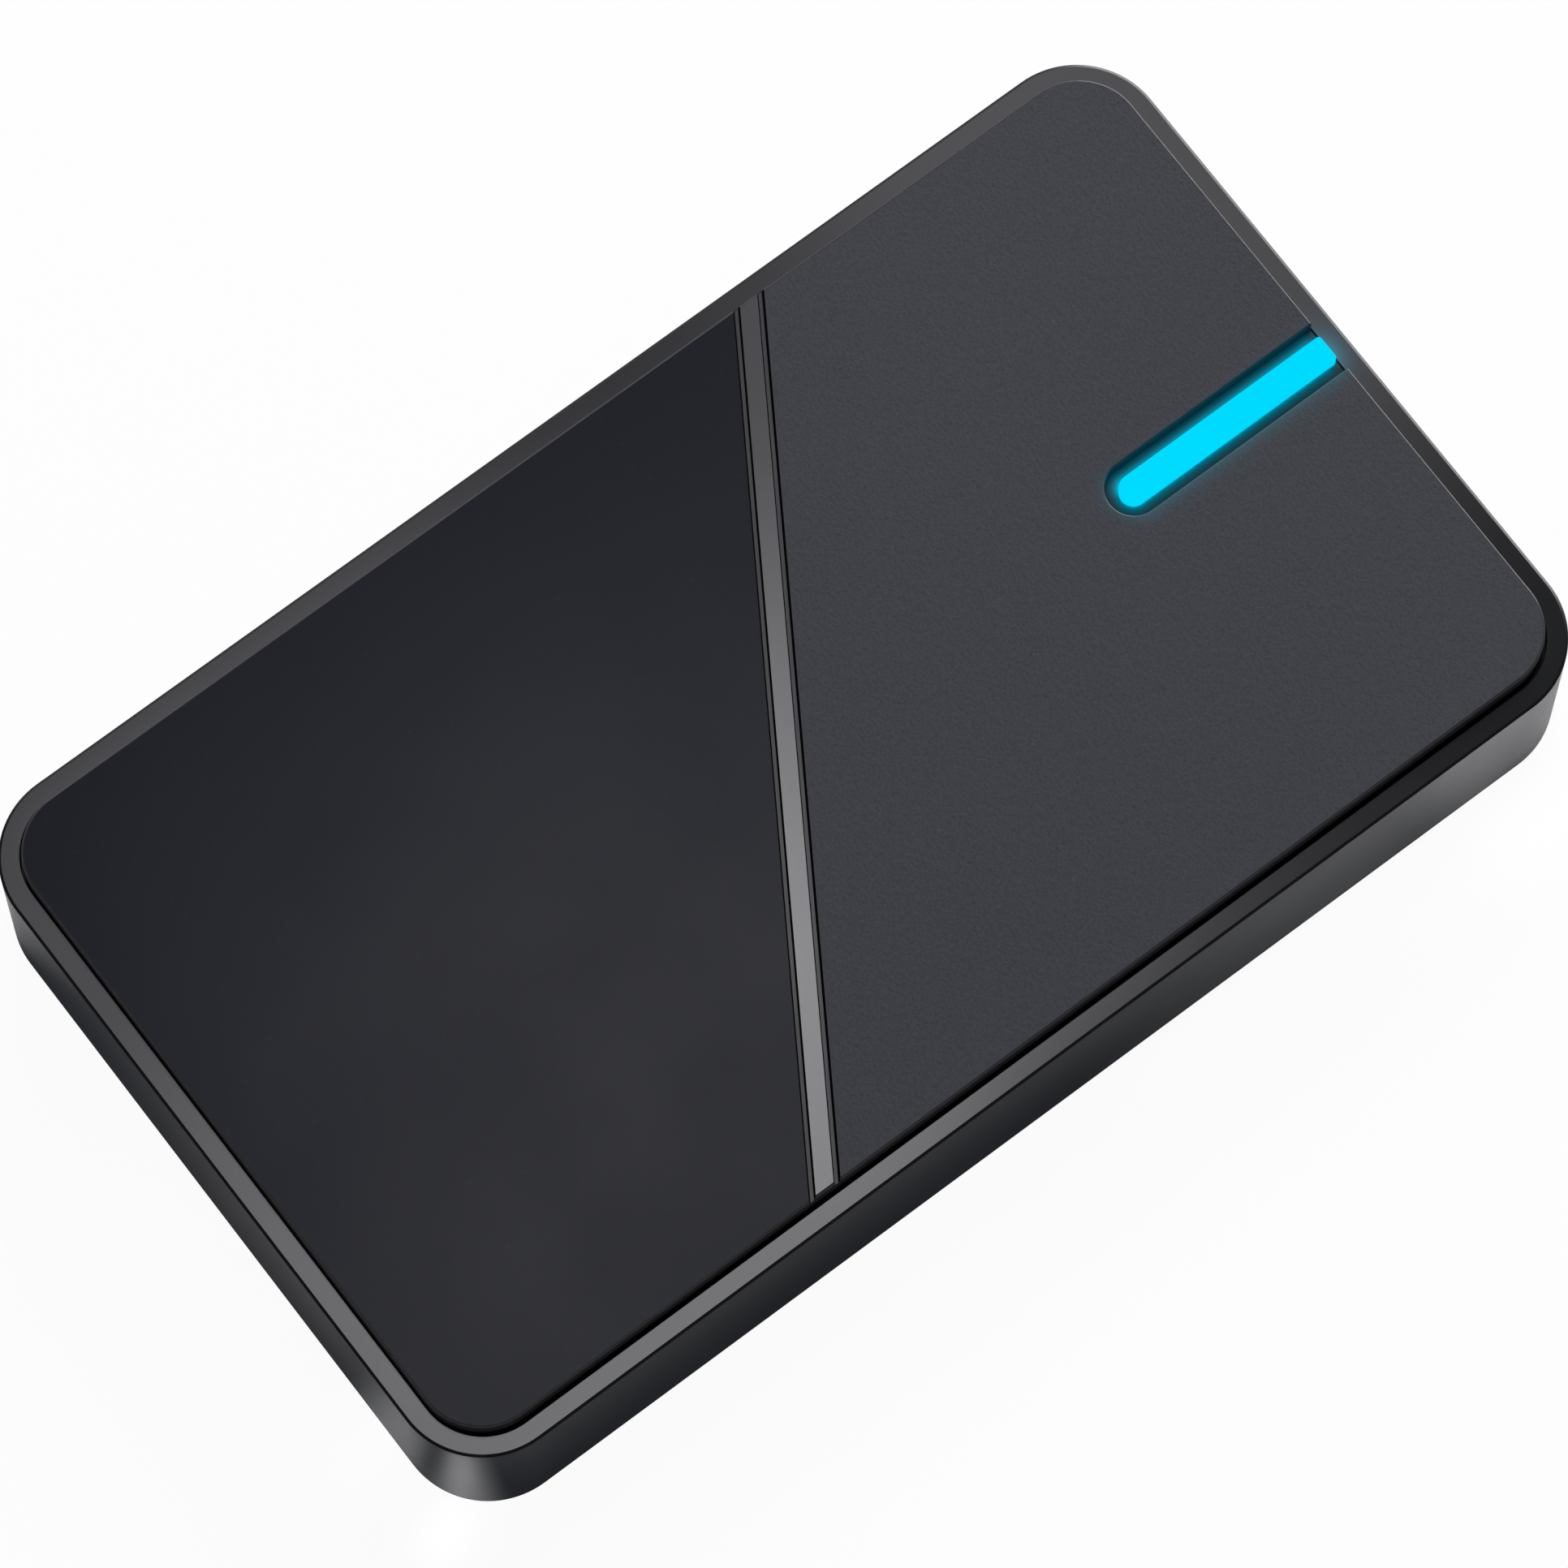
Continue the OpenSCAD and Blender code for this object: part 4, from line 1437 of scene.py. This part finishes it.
@dataclass
class Base:
    """Bottom cover with vents, screw wells and socket tabs, its feet and its screws."""

    layout: Layout
    tabs: Sequence[LoopMaker]
    floor_t: float = 1.6 * MM
    edge: float = 0.25 * MM
    tab_depth: float = 2.62 * MM
    tab_edge: float = 0.08 * MM
    seat_r: float = 3.2 * MM
    seat_h: float = 1.4 * MM
    well_r: float = 2.1 * MM
    well_floor: float = 1.3 * MM
    hole_r: float = 1.1 * MM
    post_r: float = 2.4 * MM
    post_h: float = 2.6 * MM
    post_inset: Point = (6.0 * MM, 7.0 * MM)
    bore_r: float = 1.05 * MM
    foot_r: float = 4.0 * MM
    foot_gap: float = 0.05 * MM
    foot_sink: float = 0.6 * MM
    foot_edge: float = 0.3 * MM
    foot_inset: Point = (12.0 * MM, 1.5 * MM)
    vent_count: int = 13
    vent_pitch: float = 3.6 * MM
    vent_l: float = 20.0 * MM
    vent_w: float = 1.6 * MM
    sink: float = 0.4 * MM
    head_r: float = 1.85 * MM
    head_h: float = 1.2 * MM
    head_edge: float = 0.35 * MM
    shank_r: float = 1.0 * MM
    shank_l: float = 7.0 * MM
    cross_l: float = 2.0 * MM
    cross_w: float = 0.5 * MM
    cross_d: float = 0.6 * MM

    @property
    def floor_z(self) -> float:
        """Height of the floor's inner face."""
        return self.layout.base_z + self.floor_t

    @property
    def well_z(self) -> float:
        """Height of the face that the screw heads press on."""
        return self.floor_z + self.seat_h - self.well_floor

    def slab(self) -> Solid:
        """Floor with its rounded lower edge.

        Returns:
            The floor.
        """
        lay = self.layout
        loops = [lay.base.level(lay.base_z + drop, -inset) for drop, inset in edge_arc(self.edge)]
        loops.append(lay.base.level(self.floor_z))
        return Solid().loft(loops)

    def risers(self) -> Solid:
        """Screw seats and board posts that stand on the floor.

        Returns:
            The seats and posts.
        """
        low = self.floor_z - self.sink
        made = Solid().pegs(self.layout.corners(), self.seat_r, low, self.floor_z + self.seat_h)
        posts = self.layout.corners(*self.post_inset)
        return made.pegs(posts, self.post_r, low, self.floor_z + self.post_h)

    def closers(self) -> Solid:
        """Tabs that close the wall below the sockets.

        Returns:
            The tabs.
        """
        back = self.layout.case.half_y
        made = Solid()
        for tab in self.tabs:
            loops = [tab(back - self.tab_depth, 0.0)]
            loops += [tab(back - drop, -inset) for inset, drop in edge_arc(self.tab_edge)]
            made.loft(loops)
        return made

    def holes(self) -> Solid:
        """Screw holes through the seats and bores in the posts.

        Returns:
            The cutters.
        """
        lay = self.layout
        high = self.floor_z + MARGIN
        made = Solid().pegs(lay.corners(), self.hole_r, lay.base_z, high + self.seat_h)
        posts = lay.corners(*self.post_inset)
        return made.pegs(posts, self.bore_r, self.floor_z, high + self.post_h)

    def recesses(self) -> Solid:
        """Screw wells, foot recesses and vents, cut from below.

        Returns:
            The cutters.
        """
        lay = self.layout
        made = Solid()
        for x, y in lay.corners():
            made.flared(disc(self.well_r, x, y).level, lay.base_z, self.well_z - lay.base_z, self.edge)
        for x, y in lay.corners(*self.foot_inset):
            recess = disc(self.foot_r + self.foot_gap, x, y)
            made.flared(recess.level, lay.base_z, self.foot_sink, self.tab_edge)
        for i in range(self.vent_count):
            x = (i - (self.vent_count - 1) / 2) * self.vent_pitch
            vent = Outline(self.vent_w / 2, self.vent_l / 2, self.vent_w / 2, x=x)
            made.flared(vent.level, lay.base_z, self.floor_t + MARGIN, self.edge)
        return made

    def cover(self) -> None:
        """Make the bottom cover."""
        piece = self.slab().piece("base_cover")
        combine(piece, self.risers(), Operation.JOIN)
        combine(piece, self.closers(), Operation.JOIN)
        combine(piece, self.recesses(), Operation.CUT)
        combine(piece, self.holes(), Operation.CUT)
        dress(piece, BASE)
        seat(piece, Slot.BASE, "bottom_cover")

    def feet(self) -> None:
        """Make the four soft feet."""
        made = Solid()
        top = self.layout.base_z + self.foot_sink
        for x, y in self.layout.corners(*self.foot_inset):
            foot = disc(self.foot_r, x, y)
            loops = [foot.level(drop, -inset) for drop, inset in edge_arc(self.foot_edge)]
            made.loft([*loops, foot.level(top)])
        piece = made.piece("soft_feet")
        dress(piece, RUBBER)
        seat(piece, Slot.RUBBER, "rubber_feet")

    def screws(self) -> None:
        """Make the four case screws with their cross recesses."""
        low = self.well_z - self.head_h
        made = Solid()
        for x, y in self.layout.corners():
            head = disc(self.head_r, x, y)
            shank = disc(self.shank_r, x, y)
            loops = [head.level(low + drop, -inset) for drop, inset in edge_arc(self.head_edge)]
            loops += [head.level(self.well_z), shank.level(self.well_z)]
            loops.append(shank.level(self.well_z + self.shank_l))
            made.loft(loops)
        piece = made.piece("case_fixings")
        for half_x, half_y in ((self.cross_l / 2, self.cross_w / 2), (self.cross_w / 2, self.cross_l / 2)):
            cross = Solid()
            for x, y in self.layout.corners():
                cross.block(
                    (x - half_x, y - half_y, low - MARGIN),
                    (x + half_x, y + half_y, low + self.cross_d),
                )
            combine(piece, cross, Operation.CUT)
        dress(piece, ZINC)
        seat(piece, Slot.SCREW, "case_screws")

    def build(self) -> None:
        """Make the cover, its feet and its screws."""
        self.cover()
        self.feet()
        self.screws()


@dataclass
class Socket:
    """Base of the two kinds of socket: a sheet shell, an insulator tongue and its contacts."""

    prefix: str
    sheet_t: float = 0.35 * MM
    lip: float = 0.12 * MM
    port_gap: float = 0.25 * MM
    fit: float = 0.05 * MM
    set_back: float = 1.6 * MM
    contact_set_back: float = 0.5 * MM
    contact_t: float = 0.1 * MM
    contact_edge: float = 0.025 * MM
    soft_edge: float = 0.12 * MM
    tongue_w: float = 11.2 * MM
    tongue_t: float = 1.3 * MM
    root_l: float = 3.6 * MM
    pitch: float = 1.0 * MM
    contact_w: float = 0.5 * MM
    upper: int = 10
    lower: int = 9

    def __post_init__(self) -> None:
        """Read the socket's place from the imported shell."""
        low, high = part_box(self.prefix + "_shell")
        self.x = (low.x + high.x) / 2
        self.half_w = (high.x - low.x) / 2 - self.sheet_t
        self.floor_z = low.z + self.sheet_t
        self.half_h = (high.z - low.z) / 2 - self.sheet_t
        self.mid_z = (low.z + high.z) / 2
        self.mouth_y = high.y
        self.back_y = low.y

    def loop(self, y: float, grow: float) -> Loop:
        """The mouth's outline at a depth; each kind of socket has its own."""
        raise NotImplementedError

    def shell(self) -> Solid:
        """Sheet shell with a rounded lip, closed at its back.

        Returns:
            The shell.
        """
        arc = edge_arc(self.lip)
        loops = [self.loop(self.back_y, self.sheet_t)]
        loops += [self.loop(self.mouth_y - drop, self.sheet_t - inset) for inset, drop in arc]
        loops += [self.loop(self.mouth_y - inset, drop) for inset, drop in arc]
        loops.append(self.loop(self.back_y + self.sheet_t, 0.0))
        return Solid().loft(loops)

    def tongue(self) -> bpy.types.Object:
        """Insulator: the block at the back and the tongue.

        Returns:
            The insulator.
        """
        start = self.back_y + self.sheet_t
        root = Solid().loft([self.loop(start, -self.fit), self.loop(start + self.root_l, -self.fit)])
        piece = root.piece(self.prefix + "_insulator")
        half = self.tongue_w / 2
        bar = Solid().block(
            (self.x - half, start + self.root_l / 2, self.mid_z - self.tongue_t / 2),
            (self.x + half, self.mouth_y - self.set_back, self.mid_z + self.tongue_t / 2),
            self.soft_edge,
        )
        combine(piece, bar, Operation.JOIN)
        return piece

    def contacts(self) -> Solid:
        """Contacts on both faces of the tongue.

        Returns:
            The contacts.
        """
        start = self.back_y + self.sheet_t + self.root_l
        end = self.mouth_y - self.set_back - self.contact_set_back
        half = self.contact_w / 2
        made = Solid()
        upper_z = self.mid_z + self.tongue_t / 2
        lower_z = self.mid_z - self.tongue_t / 2 - self.contact_t
        for count, low in ((self.upper, upper_z), (self.lower, lower_z)):
            high = low + self.contact_t
            for i in range(count):
                x = self.x + (i - (count - 1) / 2) * self.pitch
                made.block((x - half, start, low), (x + half, end, high), self.contact_edge)
        return made

    def build(self) -> None:
        """Make the shell, the insulator and the contacts."""
        pieces = (
            (self.shell().piece(self.prefix + "_sleeve"), NICKEL, Slot.SHELL, "_shell"),
            (self.tongue(), INSULATOR, Slot.INSULATOR, "_tongue"),
            (self.contacts().piece(self.prefix + "_pins"), GOLD, Slot.CONTACT, "_contacts"),
        )
        for piece, finish, slot, node in pieces:
            dress(piece, finish)
            seat(piece, slot, self.prefix + node)


@dataclass
class VideoSocket(Socket):
    """Wide socket with two cut lower corners."""

    chamfer_x: float = 2.0 * MM
    chamfer_z: float = 1.9 * MM
    bend_r: float = 0.3 * MM
    arch_r: float = 0.3 * MM

    def loop(self, y: float, grow: float) -> Loop:
        """The mouth's outline at a depth, with softened corners.

        Args:
            y: Place of the plane.
            grow: How far the outline is moved outwards.

        Returns:
            The outline's points.
        """
        half = self.half_w + grow
        low = self.floor_z - grow
        high = self.floor_z + 2 * self.half_h + grow
        corners = [
            (self.x + half, high), (self.x - half, high), (self.x - half, low + self.chamfer_z),
            (self.x - half + self.chamfer_x, low), (self.x + half - self.chamfer_x, low),
            (self.x + half, low + self.chamfer_z),
        ]
        return [Vector((x, y, z)) for x, z in soften(corners, self.bend_r + grow)]

    def arch(self, low_z: float) -> Arch:
        """Opening in the wall, from below its lower edge up.

        Args:
            low_z: Height of the opening's feet.

        Returns:
            The opening.
        """
        reach = self.sheet_t + self.port_gap
        top = self.mid_z + self.half_h + reach
        return Arch(self.x, self.half_w + reach, low_z, top, self.arch_r)

    def tab(self, low_z: float, seam: float) -> LoopMaker:
        """Outline of the tab that closes the wall below the socket.

        Args:
            low_z: Height of the tab's lower edge.
            seam: Gap on each side of the tab.

        Returns:
            A function that gives the tab's loop at a place along Y, grown by a length.
        """
        reach = self.sheet_t + self.port_gap
        top = self.mid_z - self.half_h - reach
        half = self.half_w + reach - seam
        mid_z = (top + low_z) / 2
        return Outline(half, (top - low_z) / 2, radius=0.0, x=self.x, y=mid_z, steps=1).upright


@dataclass
class DataSocket(Socket):
    """Small socket with round ends."""

    tongue_w: float = 6.7 * MM
    tongue_t: float = 0.7 * MM
    root_l: float = 2.6 * MM
    pitch: float = 0.5 * MM
    contact_w: float = 0.26 * MM
    upper: int = 12
    lower: int = 12
    arc_steps: int = 16

    def loop(self, y: float, grow: float) -> Loop:
        """The mouth's outline at a depth."""
        return Outline(self.half_w, self.half_h, self.half_h, x=self.x, y=self.mid_z).upright(y, grow)

    def arch(self, low_z: float) -> Arch:
        """Opening in the wall, from below its lower edge up.

        Args:
            low_z: Height of the opening's feet.

        Returns:
            The opening.
        """
        reach = self.sheet_t + self.port_gap
        radius = self.half_h + reach
        return Arch(self.x, self.half_w + reach, low_z, self.mid_z + radius, radius)

    def tab(self, low_z: float, seam: float) -> LoopMaker:
        """Outline of the tab below the socket, hollowed by the socket's lower half.

        Args:
            low_z: Height of the tab's lower edge.
            seam: Gap on each side of the tab.

        Returns:
            A function that gives the tab's loop at a place along Y, grown by a length.
        """
        reach = self.sheet_t + self.port_gap
        radius = self.half_h + reach
        half = self.half_w + reach
        lean = math.acos((radius - seam) / radius)

        def outline(y: float, grow: float) -> Loop:
            """Square feet, then the hollow from right to left.

            Args:
                y: Place of the plane.
                grow: How far the outline is moved outwards.

            Returns:
                The outline's points.
            """
            side = half - seam + grow
            hollow = radius - grow
            found = [Vector((self.x - side, y, low_z - grow)), Vector((self.x + side, y, low_z - grow))]
            for end in (1, -1):
                steps = range(self.arc_steps + 1)
                for step in steps if end > 0 else reversed(steps):
                    angle = lean + step / self.arc_steps * (QUARTER - lean)
                    across = half - radius + hollow * math.cos(angle)
                    found.append(Vector((self.x + end * across, y, self.mid_z - hollow * math.sin(angle))))
            return found

        return outline


class Interior:
    """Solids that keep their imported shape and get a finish."""

    finishes: ClassVar[dict[str, Finish]] = {
        "top_cover": COVER,
        "main_board": BOARD,
        "board_screws": ZINC,
        "status_leds": LED,
        "processor": EPOXY,
        "thermal_pad": PAD,
        "heat_sink": ALUMINIUM,
        "memory_chips": EPOXY,
        "video_receiver": EPOXY,
        "video_driver": EPOXY,
        "data_bridge": EPOXY,
        "flash_chip": EPOXY,
        "crystals": TIN,
        "power_inductors": CORE,
        "bulk_capacitors": TIN,
        "small_capacitors": CERAMIC,
        "regulators": EPOXY,
    }

    def build(self) -> None:
        """Dress each solid."""
        for node, finish in self.finishes.items():
            dress(frame["nodes"][node], finish)
            log.info("dressed %s with %s", node, finish.name)


class Reach(Enum):
    """Kinds of surface that a lamp works on."""

    MIRROR = "glossy"
    MATT = "diffuse"
    BOTH = "both"


def spoke(turn_deg: float, lift_deg: float) -> Vector:
    """Direction with a turn from +X and a lift from the level.

    Args:
        turn_deg: Turn about Z.
        lift_deg: Lift above the level.

    Returns:
        The direction, of length one.
    """
    turn = math.radians(turn_deg)
    lift = math.radians(lift_deg)
    return Vector((math.cos(turn) * math.cos(lift), math.sin(turn) * math.cos(lift), math.sin(lift)))


def point_along(
    holder: bpy.types.Object, place: Sequence[float], ahead: Vector, roll_deg: float = 0.0,
) -> None:
    """Put a lamp or the camera at a place and let it look ahead.

    Args:
        holder: The lamp or the camera.
        place: Where it goes.
        ahead: The direction that it looks in.
        roll_deg: Its turn about that direction.
    """
    roll = Quaternion((0, 0, 1), math.radians(roll_deg))
    holder.location = place
    holder.rotation_mode = "QUATERNION"
    holder.rotation_quaternion = ahead.to_track_quat("-Z", "Y") @ roll


def hang(
    name: str, lamp: bpy.types.Light, place: Sequence[float], aim: Sequence[float], reach: Reach,
) -> None:
    """Hang a lamp in the studio.

    Args:
        name: Name of the lamp.
        lamp: Its data.
        place: Where it hangs.
        aim: The point that it faces.
        reach: The kind of surface that it works on.
    """
    holder = place_object(name, lamp)
    point_along(holder, place, Vector(aim) - Vector(place))
    holder.visible_camera = False
    holder.visible_diffuse = reach is not Reach.MIRROR
    holder.visible_glossy = reach is not Reach.MATT
    log.info("hung %s", name)


@dataclass(frozen=True)
class Patch:
    """Bright patch of the scrim, in millimetres."""

    centre: Point
    half: Point
    level: float
    soft: ClassVar[float] = 20.0

    def light(self, graph: Graph, axes: Wires) -> Wire:
        """Light of the patch at a place on the scrim.

        Args:
            graph: The scrim's tree.
            axes: The place's coordinates in millimetres.

        Returns:
            The patch's light, which fades over its soft border.
        """
        total = self.level
        for axis, centre, half in zip("XY", self.centre, self.half):
            away = graph.math("ABSOLUTE", graph.math("SUBTRACT", axes[axis], centre))
            total = graph.math("MULTIPLY", total, graph.spread(away, half, half + self.soft, 1.0, 0.0))
        return total


@dataclass(frozen=True)
class Scrim:
    """Level cloth above the box with bright patches, which glossy faces mirror."""

    name: str
    place: tuple[float, float, float]
    size: float
    patches: tuple[Patch, ...]
    tint: ClassVar[tuple[float, ...]] = (0.995, 0.99, 1.035, 1.0)

    def build(self) -> None:
        """Hang the scrim and grade its light."""
        lamp = bpy.data.lights.new(self.name, "AREA")
        lamp.size = self.size
        lamp.energy = math.pi * self.size ** 2
        graph = blank_graph(lamp)
        axes = graph.axes(graph.scaled(graph.add("NewGeometry", {}).outputs["Position"]))
        total = 0.0
        for patch in self.patches:
            total = graph.math("ADD", total, patch.light(graph, axes))
        glow = graph.add("Emission", {"Color": self.tint, "Strength": total})
        graph.add("OutputLight", {"Surface": glow.outputs[0]})
        x, y, _ = self.place
        hang(self.name, lamp, self.place, (x, y, 0.0), Reach.MIRROR)


@dataclass(frozen=True)
class SoftBox:
    """Rectangular lamp that faces the box."""

    name: str
    turn_deg: float
    lift_deg: float
    distance: float
    size: Point
    radiance: float
    reach: Reach

    def build(self) -> None:
        """Hang the lamp."""
        lamp = bpy.data.lights.new(self.name, "AREA")
        lamp.shape = "RECTANGLE"
        lamp.size, lamp.size_y = self.size
        lamp.energy = self.radiance * math.pi * self.size[0] * self.size[1]
        place = spoke(self.turn_deg, self.lift_deg) * self.distance
        hang(self.name, lamp, place, (0.0, 0.0, 0.0), self.reach)


@dataclass(frozen=True)
class Beam:
    """Soft spot on the floor, which the nearest wall mirrors."""

    name: str
    aim: tuple[float, float, float]
    turn_deg: float
    lift_deg: float
    radius: float
    level: float
    distance: ClassVar[float] = 0.4
    # Power that a spot lamp needs for a level of one from one metre straight above
    power: ClassVar[float] = 4 * math.pi ** 2
    tint: ClassVar[Colour] = (1.0, 0.985, 1.02)

    def build(self) -> None:
        """Hang the spot lamp."""
        lamp = bpy.data.lights.new(self.name, "SPOT")
        lamp.color = self.tint
        lamp.spot_size = 2 * math.atan(self.radius / self.distance)
        lamp.spot_blend = 1.0
        lamp.shadow_soft_size = self.radius / 2
        outward = spoke(self.turn_deg, self.lift_deg)
        lamp.energy = self.level * self.power * self.distance ** 2 / outward.z
        hang(self.name, lamp, Vector(self.aim) + outward * self.distance, self.aim, Reach.MATT)


@dataclass
class Studio:
    """Pale floor, quiet surroundings, lamps and the camera."""

    layout: Layout
    floor_half: float = 4.0
    floor_colour: tuple[float, ...] = (0.9, 0.9, 0.9, 1.0)
    floor_glow: float = 0.95
    # Distances from the box, in millimetres: where mirrored views of the floor brighten,
    # and where the floor beneath the box gives way
    shade_reach: Span = (14.0, 120.0)
    under_reach: Span = (-4.0, -1.0)
    white: tuple[float, ...] = (1.0, 1.0, 1.0, 1.0)
    room: tuple[float, ...] = (0.085, 0.09, 0.108, 1.0)
    mirrored_room: tuple[float, ...] = (0.1, 0.1, 0.105, 1.0)
    far_side: tuple[float, float, float] = (0.6, 0.8, 0.0)
    far_range: Span = (0.45, 0.85)
    heading_deg: float = 52.499
    dip_deg: float = -73.143
    roll_deg: float = 0.338
    camera_place: tuple[float, float, float] = (-0.133914, -0.174270, 0.731343)
    lens_mm: float = 217.83
    sensor_mm: float = 36.0
    clip: Span = (0.05, 20.0)
    lamps: tuple[Union[Scrim, SoftBox, Beam], ...] = (
        Scrim("scrim", (0.0, 0.0, 0.518), 0.8, (
            Patch((31.0, 60.0), (40.5, 64.5), 4.55),
            Patch((175.0, 197.0), (27.0, 80.0), 2.15),
            Patch((30.5, 164.5), (38.5, 3.0), 3.1),
            Patch((93.5, 109.5), (25.0, 26.0), 3.8),
        )),
        SoftBox("edge_box", 26.0, 18.0, 0.9, (0.8, 0.5), 9.0, Reach.MIRROR),
        SoftBox("far_box", 38.0, 44.0, 1.0, (0.7, 0.7), 7.0, Reach.MATT),
        SoftBox("right_box", 12.0, 20.0, 0.8, (0.3, 0.3), 4.0, Reach.MATT),
        SoftBox("low_box", -127.0, 5.0, 1.0, (1.0, 0.1), 6.0, Reach.MATT),
        SoftBox("under_box", 0.0, -75.0, 1.0, (0.6, 0.6), 8.0, Reach.BOTH),
        Beam("corner_beam", (-0.0572, -0.0315, 0.0), -155.0, 40.0, 0.0035, 1.05),
        Beam("post_beam", (-0.0585, -0.0225, 0.0), -170.0, 45.0, 0.0047, 0.5),
        Beam("left_beam", (-0.0612, -0.006, 0.0), -92.0, 15.0, 0.006, 0.14),
        Beam("right_beam", (0.04, -0.0375, 0.0), -4.0, 12.0, 0.006, 0.33),
        Beam("end_beam", (0.0455, -0.0355, 0.0), -100.0, 45.0, 0.0055, 0.26),
    )

    def away(self, graph: Graph) -> Wire:
        """Distance from the box's outline on the floor, in millimetres.

        Args:
            graph: The floor's tree.

        Returns:
            The distance, below zero under the box.
        """
        case = self.layout.case
        axes = graph.axes(graph.millimetres())
        sides = []
        for axis, half in (("X", case.half_x), ("Y", case.half_y)):
            inner = (half - case.radius) / MM
            past = graph.math("SUBTRACT", graph.math("ABSOLUTE", axes[axis]), inner)
            sides.append(graph.math("MAXIMUM", past, 0.0))
        flat = graph.add("CombineXYZ", {"X": sides[0], "Y": sides[1]}).outputs[0]
        return graph.math("SUBTRACT", graph.vector("LENGTH", flat)["Value"], case.radius / MM)

    def floor_material(self) -> bpy.types.Material:
        """White floor with the box's shadow, clear for light and views from below.

        Returns:
            The material.
        """
        made = bpy.data.materials.new("floor_pale")
        graph = blank_graph(made)
        matt = graph.add("BsdfDiffuse", {"Color": self.floor_colour})
        glow = graph.add("Emission", {"Color": self.white})
        rays = graph.add("LightPath", {}).outputs
        mirrored = graph.math("MAXIMUM", rays["Is Glossy Ray"], rays["Is Transmission Ray"])
        away = self.away(graph)
        mirrored = graph.math("MULTIPLY", mirrored, graph.spread(away, *self.shade_reach))
        outside = graph.spread(away, *self.under_reach)
        seen = graph.math("MAXIMUM", graph.math("MULTIPLY", rays["Is Camera Ray"], outside), mirrored)
        share = graph.math("MULTIPLY", seen, self.floor_glow)
        upper = graph.add("MixShader", {0: share, 1: matt.outputs[0], 2: glow.outputs[0]})
        below = graph.add("NewGeometry", {}).outputs["Backfacing"]
        beneath = graph.math("SUBTRACT", 1.0, outside)
        unseen = graph.math("SUBTRACT", 1.0, rays["Is Camera Ray"])
        window = graph.math("MULTIPLY", beneath, unseen)
        clear = graph.add("BsdfTransparent", {})
        open_share = graph.math("MAXIMUM", below, window)
        both = graph.add("MixShader", {0: open_share, 1: upper.outputs[0], 2: clear.outputs[0]})
        graph.add("OutputMaterial", {"Surface": both.outputs[0]})
        return made

    def floor(self) -> None:
        """Lay the floor under the box."""
        half = self.floor_half
        corners = ((-half, -half, 0.0), (half, -half, 0.0), (half, half, 0.0), (-half, half, 0.0))
        data = bpy.data.meshes.new("floor")
        data.from_pydata(corners, [], [range(len(corners))])
        data.materials.append(self.floor_material())
        place_object("floor", data)

    def surroundings(self) -> None:
        """Quiet grey room with a white backdrop on the far side."""
        world = bpy.data.worlds.new("studio")
        graph = blank_graph(world)
        direction = graph.add("TexCoord", {}).outputs["Generated"]
        ahead = graph.vector("DOT_PRODUCT", direction, self.far_side)["Value"]
        backdrop = graph.spread(ahead, *self.far_range)
        rays = graph.add("LightPath", {}).outputs
        mirrored = graph.math("MAXIMUM", rays["Is Glossy Ray"], rays["Is Transmission Ray"])
        share = graph.math("MAXIMUM", rays["Is Camera Ray"], graph.math("MULTIPLY", mirrored, backdrop))
        room = graph.add("Background", {"Color": graph.blend(mirrored, self.room, self.mirrored_room)})
        white = graph.add("Background", {"Color": self.white})
        both = graph.add("MixShader", {0: share, 1: room.outputs[0], 2: white.outputs[0]})
        graph.add("OutputWorld", {"Surface": both.outputs[0]})
        bpy.context.scene.world = world

    def camera(self) -> None:
        """Set the camera where the photo was taken from."""
        data = bpy.data.cameras.new("camera")
        data.lens = self.lens_mm
        data.sensor_width = self.sensor_mm
        data.clip_start, data.clip_end = self.clip
        holder = place_object("camera", data)
        point_along(holder, self.camera_place, spoke(self.heading_deg, self.dip_deg), self.roll_deg)
        bpy.context.scene.camera = holder

    def build(self) -> None:
        """Set up everything that is not the box itself."""
        bpy.context.scene.view_settings.view_transform = "Standard"
        self.camera()
        self.floor()
        self.surroundings()
        for lamp in self.lamps:
            lamp.build()


def main() -> None:
    """Build every sub-assembly in order."""
    logging.basicConfig(level=logging.INFO, format="%(message)s")
    layout = Layout.read()
    Studio(layout).build()
    sockets = [VideoSocket("video_in"), VideoSocket("video_out"), DataSocket("data")]
    Case(layout, [socket.arch(layout.base_z - MARGIN) for socket in sockets]).build()
    TopPlate(layout).build()
    LightBar(layout).build()
    Base(layout, [socket.tab(layout.base_z, layout.seam) for socket in sockets]).build()
    for socket in sockets:
        socket.build()
    Interior().build()


if __name__ == "__main__":
    main()
